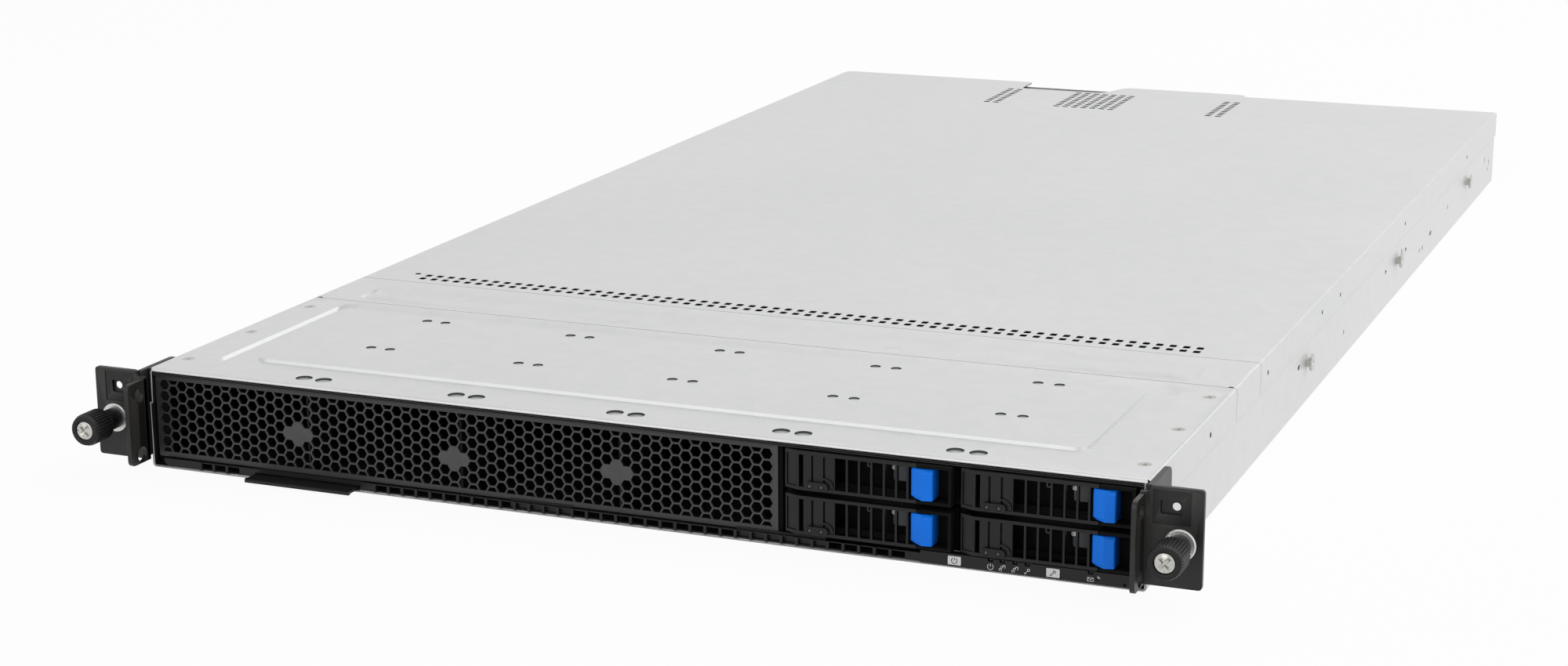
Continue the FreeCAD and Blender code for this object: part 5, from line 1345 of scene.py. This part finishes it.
@dataclass
class FrontGrille:
    """Perforated front sheet with hexagonal cells and three blank diamonds."""

    columns: int = 65
    x_first: float = -212.4
    x_last: float = 64.9
    z_low: float = 6.4
    rows: int = 6
    pitch: float = 5.0
    web: float = 0.72
    corner: float = 0.8
    blanks: tuple[tuple[int, float, float], ...] = ((15, 18.9, 23.9), (32, 16.4, 21.4), (49, 18.9, 23.9))
    near: float = 0.6

    def build(self) -> None:
        """Builds the sheet."""
        at = Extent.of("honeycomb_grille")
        step = (self.x_last - self.x_first) / (self.columns - 1)
        cells = []
        for column in range(self.columns):
            low = self.z_low + (self.pitch / 2 if column % 2 else 0.0)
            for row in range(self.rows + 1):
                z = low + row * self.pitch
                if not self.blank(column, z):
                    cells.append(self.cell(self.x_first + column * step, z))
        edge = rounded(at.x0, at.x1, at.z0, at.z1, self.corner, steps=3)
        maker = Maker(MESH_STEEL)
        maker.plate(edge, Axis.Y, at.y0, at.y1, cells)
        maker.piece("front_grille_sheet", "chassis", "black_steel", ["honeycomb_grille"])

    def blank(self, column: int, z: float) -> bool:
        """Whether a cell belongs to one of the plain diamonds.

        Args:
            column: its column.
            z: its height.

        Returns:
            True for a cell that is left out.
        """
        for centre, low, high in self.blanks:
            heights = {0: (low, high), 1: ((low + high) / 2,)}.get(abs(column - centre), ())
            if any(abs(z - height) < self.near for height in heights):
                return True
        return False

    def cell(self, x: float, z: float) -> list[Point2]:
        """Hexagonal cell, cut in half where it meets the ends of the field.

        Args:
            x: its centre across.
            z: its centre's height.

        Returns:
            Its outline.
        """
        half_h = (self.pitch - self.web) / 2
        half_w = half_h * 2 / math.sqrt(3)
        top = self.z_low + (self.rows + 0.5) * self.pitch
        above = [(x + half_w / 2, z + half_h), (x - half_w / 2, z + half_h)]
        below = [(x - half_w / 2, z - half_h), (x + half_w / 2, z - half_h)]
        rise = self.web / 2
        cut = half_w - rise / math.sqrt(3)
        if z - half_h < self.z_low:
            return [(x + cut, z + rise), *above, (x - cut, z + rise)]
        if z + half_h > top:
            return [(x - cut, z - rise), *below, (x + cut, z - rise)]
        return [(x + half_w, z), *above, (x - half_w, z), *below]


@dataclass
class FrontFrame:
    """Two ridges of the dark front frame's top rail."""

    ridge: float = 0.45
    rail: float = 1.2
    proud: float = 0.02
    deep: float = 3.9
    ease: float = 0.12
    end_gap: float = 0.02

    def build(self) -> None:
        """Builds the rail's ridges over the CAD frame."""
        at = Extent.of("front_frame")
        y, ease = at.y0 - self.proud, self.ease
        maker = Maker(BLACK_STEEL)
        for low in (at.z1 - self.rail, at.z1 - self.ridge):
            high = low + self.ridge
            outline = [(y + self.deep, low), (y + self.deep, high), (y + ease, high), (y, high - ease),
                       (y, low + ease), (y + ease, low)]
            maker.plate(outline, Axis.X, at.x0 + self.end_gap, at.x1 - self.end_gap)
        maker.piece("top_rail_ridges", "chassis", "black_steel")


@dataclass
class VentStrip:
    """Low toothed strip under the grille, open over the pull-out tag."""

    tooth_pitch: float = 6.5
    tooth_w: float = 1.3
    tooth_x: float = 65.2
    tooth_ease: float = 0.7
    rail: float = 0.45
    plain_w: float = 12.1
    plain_end: float = 2.0
    chamfer: float = 1.6
    proud: float = 0.7
    tag_gap: float = 0.3
    tag_web: float = 1.8
    tag_cover: float = 0.1
    backed: tuple[Point2, ...] = ((-48.0, -20.0), (52.0, 90.0))
    back_ys: Point2 = (0.05, 0.9)
    back_zs: Point2 = (0.05, 0.9)

    def build(self) -> None:
        """Builds the strip, its teeth and the backing behind some of them."""
        at = Extent.of("vent_strip")
        tag = Extent.of("asset_tag")
        x0, x1 = tag.x0 - self.tag_gap, tag.x1 + self.tag_gap
        bar, ease = tag.z1 - self.tag_cover, self.chamfer
        half = self.tooth_w / 2
        windows, teeth = [], []
        first = math.ceil((at.x0 + self.plain_w - self.tooth_x) / self.tooth_pitch)
        last = math.floor((at.x1 - self.plain_end - self.tooth_x) / self.tooth_pitch)
        for k in range(first, last):
            x = self.tooth_x + k * self.tooth_pitch
            span = (x + half, x + self.tooth_pitch - half)
            if span[1] < x0 - self.tag_web or span[0] > x1 + self.tag_web:
                windows.append(block(*span, at.z0 + self.rail, at.z1 - self.rail))
                teeth.append(x)
        outline = [(at.x0 + ease, at.z0), (x0, at.z0), (x0, bar), (x1, bar), (x1, at.z0), (at.x1, at.z0),
                   (at.x1, at.z1), (at.x0, at.z1), (at.x0, at.z0 + ease)]
        strip, comb, back = (Maker(BLACK_PLASTIC) for _ in range(3))
        strip.plate(outline, Axis.Y, at.y0, at.y1, windows)
        foot, nose = at.z0 + self.tag_cover, at.y0 - self.proud
        profile = [(at.y0, foot), (at.y0, at.z1), (at.y0 - self.proud * 0.5, at.z1),
                   (nose, at.z1 - self.tooth_ease), (nose, foot)]
        for x in teeth:
            comb.plate(profile, Axis.X, x - half, x + half)
        for low, high in self.backed:
            back.plate(block(low, high, at.z0 + self.back_zs[0], at.z1 + self.back_zs[1]), Axis.Y,
                       *[at.y1 + y for y in self.back_ys])
        strip.piece("vent_strip_toothed", "chassis", "black_plastic", ["vent_strip"], bevel=0.06)
        comb.piece("vent_strip_teeth", "chassis", "black_plastic", bevel=0.12)
        back.piece("vent_strip_backing", "chassis", "black_plastic", bevel=0.08)


class Symbol(Enum):
    """Small generic marks beside the lamps and on the keys."""

    POWER = "power"
    LINK = "link"
    LOCATE = "locate"
    MESSAGE = "message"

    def lines(self, x: float, z: float, r: float) -> list[list[Point2]]:
        """Lines of the mark.

        Args:
            x: its centre across.
            z: its centre's height.
            r: its reach from the centre.

        Returns:
            Points of each line.
        """
        if self is Symbol.POWER:
            return [arc((x, z), r, 60, -300, 14), [(x, z + 0.1), (x, z + r * 1.15)]]
        if self is Symbol.LINK:
            return [rounded(x - r, x - 0.25 * r, z - r, z - 0.2 * r, 0.12, 2),
                    rounded(x + 0.2 * r, x + r, z + 0.1, z + r, 0.12, 2),
                    [(x - 0.5 * r, z - 0.2 * r), (x - 0.5 * r, z + 0.5 * r), (x + 0.2 * r, z + 0.5 * r)]]
        if self is Symbol.LOCATE:
            return [arc((x + 0.5 * r, z + 0.45 * r), 0.42 * r, 0, 360, 10),
                    [(x + 0.2 * r, z + 0.1 * r), (x - r, z - r)],
                    [(x - 0.75 * r, z - 0.75 * r), (x - 0.4 * r, z - 1.0 * r)]]
        low, high = z - 0.6 * r, z + 0.6 * r
        return [[(x - r, low), (x + r, low), (x + r, high), (x - r, high), (x - r, low)],
                [(x - r, high), (x, z - 0.1 * r), (x + r, high)]]


@dataclass
class ControlStrip:
    """Control panel: openings for two white keys, lamp notches, small marks and a reset pinhole."""

    marks: tuple[tuple[float, Symbol], ...] = ((28.3, Symbol.POWER), (33.0, Symbol.LINK), (38.1, Symbol.LINK),
                                               (42.9, Symbol.LOCATE), (67.7, Symbol.MESSAGE))
    mark_z: float = 2.9
    mark_size: float = 1.15
    line: float = 0.15
    notch_w: float = 1.9
    notch_h: float = 1.2
    notch_deep: float = 1.2
    notch_flare: float = 0.6
    foot: float = 0.2
    key_lap: Point2 = (0.72, 0.35)
    pinhole_r: float = 0.95
    sensor: Point3 = (2.2, 2.3, 0.55)
    lamp_drop: float = 0.6
    lamp_rows: tuple[Point2, ...] = ((0.01, -0.5), (0.3, -0.45), (0.5, -0.2), (0.55, 0.3))
    small_sides: int = 16

    def build(self) -> None:
        """Builds the block, the lamps and the printed marks."""
        at = Extent.of("control_strip")
        power, locate, reset = (Extent.of(f"{name}_button") for name in ("power", "locate", "reset"))
        places = [at.x0 + inset for inset, _ in self.marks]
        top, low, mid = at.z1, at.z0 + self.foot, at.y0 + self.notch_deep
        flare, half, bed = self.notch_w * self.notch_flare, self.notch_w / 2, top - self.notch_h
        edge: list[Point2] = [(at.x1, top)]
        for x in reversed(places):
            edge += [(x + flare, top), (x + half, bed), (x - half, bed), (x - flare, top)]
        edge += [(at.x0, top), (at.x0, low), (at.x1, low)]
        plain = [(at.x1, top), (at.x0, top), (at.x0, low), (at.x1, low)]
        dx, dz = self.key_lap
        holes = [block(key.x0 + dx, key.x1 - dx, key.z0 + dz, key.z1 - dz) for key in (power, locate)]
        centre = ((reset.x0 + reset.x1) / 2, (reset.z0 + reset.z1) / 2)
        holes.append(circle(centre, self.pinhole_r, sides=20))
        inset, z, r = self.sensor
        maker = Maker(BLACK_PLASTIC)
        maker.plate(edge, Axis.Y, at.y0, mid, [*holes, circle((at.x1 - inset, z), r, self.small_sides)])
        maker.plate(plain, Axis.Y, mid, at.y1, holes)
        maker.piece("control_panel_block", "chassis", "black_plastic", ["control_strip"], bevel=0.1)
        self.lamps([(x, top - self.lamp_drop) for x in places], mid)
        for inset, kind in self.marks:
            name = f"panel_mark_{kind.value}_{round(inset)}"
            self.mark(name, "chassis", kind, (at.x0 + inset, self.mark_z), at.y0, MARK)
        for key, kind, body in ((power, Symbol.POWER, "power_key"), (locate, Symbol.LOCATE, "locate_key")):
            self.mark(f"{kind.value}_key_mark", body, kind, ((key.x0 + key.x1) / 2, (key.z0 + key.z1) / 2),
                      key.y0, DARK_MARK)

    def lamps(self, places: Sequence[Point2], back: float) -> None:
        """Builds the lamps in their notches.

        Args:
            places: their centres.
            back: Y of the notches' rear.
        """
        maker = Maker(LENS)
        for place in places:
            maker.turned(place, Axis.Y, self.lamp_rows, self.small_sides, base=back)
        maker.piece("panel_lamp_lenses", "chassis", "lamp_lens", ["lamp_windows"])

    def mark(self, name: str, body: str, kind: Symbol, place: Point2, face: float, finish: Finish) -> None:
        """One small generic mark drawn in fine raised lines.

        Args:
            name: the piece's name.
            body: the body it rides on.
            kind: which mark.
            place: its centre.
            face: Y of the surface it stands on.
            finish: its finish.
        """
        curve = bpy.data.curves.new(name, "CURVE")
        curve.dimensions = "3D"
        curve.bevel_depth = self.line * MM
        curve.bevel_resolution = 1
        for line in kind.lines(*place, self.mark_size):
            spline = curve.splines.new("POLY")
            spline.points.add(len(line) - 1)
            for point, (a, b) in zip(spline.points, line):
                point.co = (a * MM, face * MM, b * MM, 1.0)
        curve.materials.append(finish.material())
        made = place_object(name, curve)
        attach(made, body)
        log.info("made %s", name)


# ---- drive trays ------------------------------------------------------------------------------

@dataclass
class DriveTray:
    """Front of one drive tray: swing-out lever with a barred front, and its release latch.

    Lengths across count from the lever's left end, heights from its foot, and depths from the tray's
    face.
    """

    number: int
    lever_w: float = 54.8
    lever_thick: float = 2.0
    sweep: Point2 = (5.9, 2.2)
    bar: float = 1.35
    panel_x1: float = 21.1
    panel_inset: float = 0.55
    panel_thick: float = 0.3
    lap: float = 0.1
    slots: tuple[Point2, ...] = ((6.5, 8.1), (11.5, 12.35), (16.4, 17.25))
    grid: tuple[float, ...] = (25.9, 30.9, 36.0, 41.1, 46.1, 50.7)
    rib: float = 0.9
    swept_parts: tuple[Point3, ...] = ((0.0, 0.13, 0.0), (0.13, 0.9, 0.5), (0.9, 1.0, 0.0))
    pill: Span = (9.1, 18.8, 0.3, 3.8)
    pill_r: float = 1.7
    pill_ys: Point2 = (-0.78, 1.2)
    halo_at: Point2 = (17.0, 1.9)
    halo_rs: Point2 = (3.9, 3.1)
    halo_sweep: float = 100.0
    halo_ys: Point2 = (-0.1, 1.0)
    lamp_xs: Point2 = (11.2, 16.0)
    lamp_z: float = 2.0
    lamp_rows: tuple[Point2, ...] = ((0.01, -0.28), (0.45, -0.2), (0.75, 0.02))
    ring_rows: tuple[Point2, ...] = ((0.75, 0.02), (0.85, -0.2), (1.1, -0.2), (1.25, 0.02))
    hinge: Point2 = (2.7, 7.4)
    pin_r: float = 0.78
    knuckle_r: float = 1.48
    web_half: float = 1.1
    web_front: tuple[Point2, Point2] = ((1.7, 0.9), (5.2, -0.5))
    pin_long: float = 1.5
    pin_gap: float = 0.05
    hook: Span = (32.6, 35.2, 10.6, 13.1)
    hook_eye: Span = (33.3, 34.5, 11.3, 12.4)
    hook_long: float = 1.6
    pad: Span = (43.2, 49.0, 6.2, 12.9)
    pad_ys: Point2 = (-0.5, 0.3)
    screw_at: Point2 = (43.6, 11.4)
    screw_rows: tuple[Point2, ...] = ((1.2, 0.1), (1.2, -0.7), (0.9, -1.0), (0.4, -1.0), (0.3, -0.8))
    hook_y: float = 7.2
    black_and_shade_front: float = 13.0

    def build(self) -> None:
        """Builds the lever, its lamps, the latch and the fittings behind the bars."""
        at = Extent.of(f"tray_lever_{self.number}")
        face = Extent.of(f"drive_tray_{self.number}").y0
        self.lever(at, face)
        self.knuckle(at, face + self.lever_thick)
        self.lamps(at, face + self.pill_ys[0])
        self.latch()
        self.fittings(at, face + self.hook_y)
        self.dress_tray(face + self.black_and_shade_front)

    def lever(self, at: Extent, face: float) -> None:
        """Builds the lever's front: frame, inset panels, swept end and lamp housing.

        Args:
            at: the CAD lever's limits.
            face: Y of the tray's face.
        """
        x, z, top = at.x0, at.z0, at.z1
        low, high, back = z + self.bar, top - self.bar, face + self.lever_thick
        panel = face + self.panel_inset
        left, right, tip = x + self.sweep[0], x + self.lever_w, x + self.grid[-1] + self.rib
        starts = [self.panel_x1 + self.rib * 0.4, *(g + self.rib for g in self.grid[:-1])]
        windows = [(self.slots[0][0], self.panel_x1), *zip(starts, self.grid)]
        frame_edge = [(left, z), (right, z), (right, low), (tip, low), (tip, high), (right, high),
                      (right, top), (left, top)]
        maker = Maker(BLACK_PLASTIC)
        maker.plate(frame_edge, Axis.Y, face, back, [block(x + a, x + b, low, high) for a, b in windows])
        edges = [self.slots[0][1], *self.slots[1], *self.slots[2], self.panel_x1]
        rear = back - self.panel_thick
        panels = [(a, b, panel, rear) for a, b in zip(edges[::2], edges[1::2])]
        for a, b, y0, y1 in (*panels, (edges[0], edges[-1], rear, back - 0.02)):
            maker.plate(block(x + a, x + b, low - self.lap, high + self.lap), Axis.Y, y0, y1)
        slabs = [(0.0, 1.0, z, low, 0.0), (0.0, 1.0, high, top, 0.0),
                 *((a, b, low, high, inset) for a, b, inset in self.swept_parts)]
        for a, b, z0, z1, inset in slabs:
            front = [self.swept(x, face, t, inset) for t in (a, b)]
            maker.plate([*front, *(self.swept(x, back, t) for t in (b, a))], Axis.Z, z0, z1)
        pill = rounded(*shifted(x, z, self.pill), self.pill_r)
        maker.plate(pill, Axis.Y, *[face + y for y in self.pill_ys])
        hub = (x + self.halo_at[0], z + self.halo_at[1])
        outer, inner = (arc(hub, r, 0, self.halo_sweep, 10) for r in self.halo_rs)
        maker.plate(outer + inner[::-1], Axis.Y, *[face + y for y in self.halo_ys])
        n = self.number
        maker.piece(f"tray_{n}_lever_front", f"lever_{n}", "black_plastic", [f"tray_lever_{n}"], bevel=0.1)

    def swept(self, x: float, y: float, share: float, inset: float = 0.0) -> Point2:
        """Point of the swept end at a share of its width from the left."""
        return (x + self.sweep[0] * share, y + self.sweep[1] * (1 - share) + inset)

    def knuckle(self, at: Extent, back: float) -> None:
        """Builds the hinge knuckle behind the swept end, with its pins.

        Args:
            at: the CAD lever's limits.
            back: Y of the lever front's rear.
        """
        x, hinge = at.x0, (at.x0 + self.hinge[0], self.hinge[1])
        low, high = at.z0 + self.pin_long, at.z1 - self.pin_long
        rows = [(self.pin_r, at.z0 + self.pin_gap), (self.pin_r, low), (self.knuckle_r, low),
                (self.knuckle_r, high), (self.pin_r, high), (self.pin_r, at.z1 - self.pin_gap)]
        maker = Maker(BLACK_PLASTIC)
        maker.turned(hinge, Axis.Z, rows, sides=24)
        web = [*((x + dx, back + dy) for dx, dy in self.web_front),
               (hinge[0] + self.web_half, hinge[1]), (hinge[0] - self.web_half, hinge[1])]
        maker.plate(web, Axis.Z, low, high)
        maker.piece(f"tray_{self.number}_lever_knuckle", f"lever_{self.number}", "black_plastic")

    def lamps(self, at: Extent, face: float) -> None:
        """Builds the two lamps of the lamp housing in their dark rings.

        Args:
            at: the CAD lever's limits.
            face: Y of the housing's face.
        """
        maker = Maker(LENS, BLACK_PLASTIC)
        for dx in self.lamp_xs:
            centre = (at.x0 + dx, at.z0 + self.lamp_z)
            maker.turned(centre, Axis.Y, self.lamp_rows, sides=18, base=face)
            maker.turned(centre, Axis.Y, self.ring_rows, sides=24, dress=1, open_ends=True, base=face)
        maker.piece(f"tray_{self.number}_lamps", f"lever_{self.number}", "lamp_lens")

    def latch(self) -> None:
        """Builds the faceted blue grip, scooped at its top right and chamfered at its lower left."""
        n = self.number
        at = Extent.of(f"tray_latch_{n}")
        x0, x1, y, z0, z1 = at.x0, at.x1, at.y0, at.z0, at.z1

        def plan(z: float, left: float, right: float) -> list[Point3]:
            """Section of the grip.

            Args:
                z: its height.
                left: how far its left front corner is set back.
                right: how far its right front corner is set back.

            Returns:
                The section's points.
            """
            flat = [(x0 + left, y + 2.4 + left), (x0 + 0.5 + left, y + 1.9 + left * 0.8),
                    (x0 + 5.1, y + 0.02 + right * 0.5), (x1 - 0.35, y + 0.75 + right), (x1, y + 1.2 + right),
                    (x1, at.y1), (x0 + 2.0, at.y1), (x0 + 2.0, y + 4.2), (x0 + left, y + 4.2)]
            return [(a, b, z) for a, b in flat]

        rows = ((z0, 1.0, 0.0), (z0 + 1.3, 0.0, 0.0), (z1 - 1.5, 0.0, 0.0), (z1 - 0.9, 0.0, 0.35),
                (z1 - 0.15, 0.15, 1.6), (z1, 0.4, 1.9))
        maker = Maker(BLUE)
        maker.loft([plan(*row) for row in rows], first_cap=True, last_cap=True)
        maker.piece(f"tray_{n}_latch_grip", f"latch_{n}", "blue_plastic", [f"tray_latch_{n}"], bevel=0.14,
                    smooth=8.0)

    def fittings(self, at: Extent, wall: float) -> None:
        """Builds the small spring hook and screw seen between the bars.

        Args:
            at: the CAD lever's limits.
            wall: Y of the wall that they stand on.
        """
        hook, eye, pad = (rounded(*shifted(at.x0, at.z0, span), radius, steps=3)
                          for span, radius in ((self.hook, 0.6), (self.hook_eye, 0.3), (self.pad, 0.9)))
        centre = (at.x0 + self.screw_at[0], at.z0 + self.screw_at[1])
        maker = Maker(CARRIER, NICKEL)
        maker.plate(hook, Axis.Y, wall - self.hook_long, wall, [eye])
        maker.plate(pad, Axis.Y, *[wall + y for y in self.pad_ys])
        maker.turned(centre, Axis.Y, self.screw_rows, sides=20, dress=1, base=wall)
        maker.piece(f"tray_{self.number}_fittings", f"tray_{self.number}", "carrier_alloy", bevel=0.08)

    def dress_tray(self, front: float) -> None:
        """Gives the CAD tray a metal carrier and drive, and a black front end: the bezel's own black, carried
        back over what lies just behind it as painted shade.

        Args:
            front: Y that the black reaches back to.
        """
        shape = dress_node(f"drive_tray_{self.number}", CARRIER, BLACK_AND_SHADE, bevel=NODE_EASE)
        for face in shape.data.polygons:
            # Faces nearer than this depth take the deep black: the bezel's own black, and painted shade on
            # the drive's face behind it.
            face.material_index = 1 if face.center.y / MM < front else 0


# ---- the whole server -------------------------------------------------------------------------

def dress_cad_nodes() -> None:
    """Gives every other CAD node the finish of its material slot, or a darker finish as painted shade for the
    nodes deep inside.
    """
    for node, shape in frame["nodes"].items():
        if node.startswith("drive_tray_"):
            continue
        finish = NODES_IN_PAINTED_SHADE.get(node, SLOT_FINISHES[SLOT_OF[node]])
        dress_node(node, finish, bevel=0.0 if shape.hide_render else NODE_EASE)


def main() -> None:
    """Builds the studio and the sub-assemblies in order."""
    logging.basicConfig(level=logging.INFO, format="%(name)s: %(message)s")
    parts = (Studio(), ChassisPan(), RailStuds(), FrontCover(), BridgeCover(), SlidingCover(),
             *(Ear(side) for side in Side), *(Thumbscrew(side) for side in Side), Ferrules(),
             FrontGrille(), FrontFrame(), VentStrip(), ControlStrip(), *(DriveTray(n) for n in range(1, 5)))
    for part in parts:
        part.build()
        log.info("built %s", type(part).__name__)
    dress_cad_nodes()


if __name__ == "__main__":
    main()
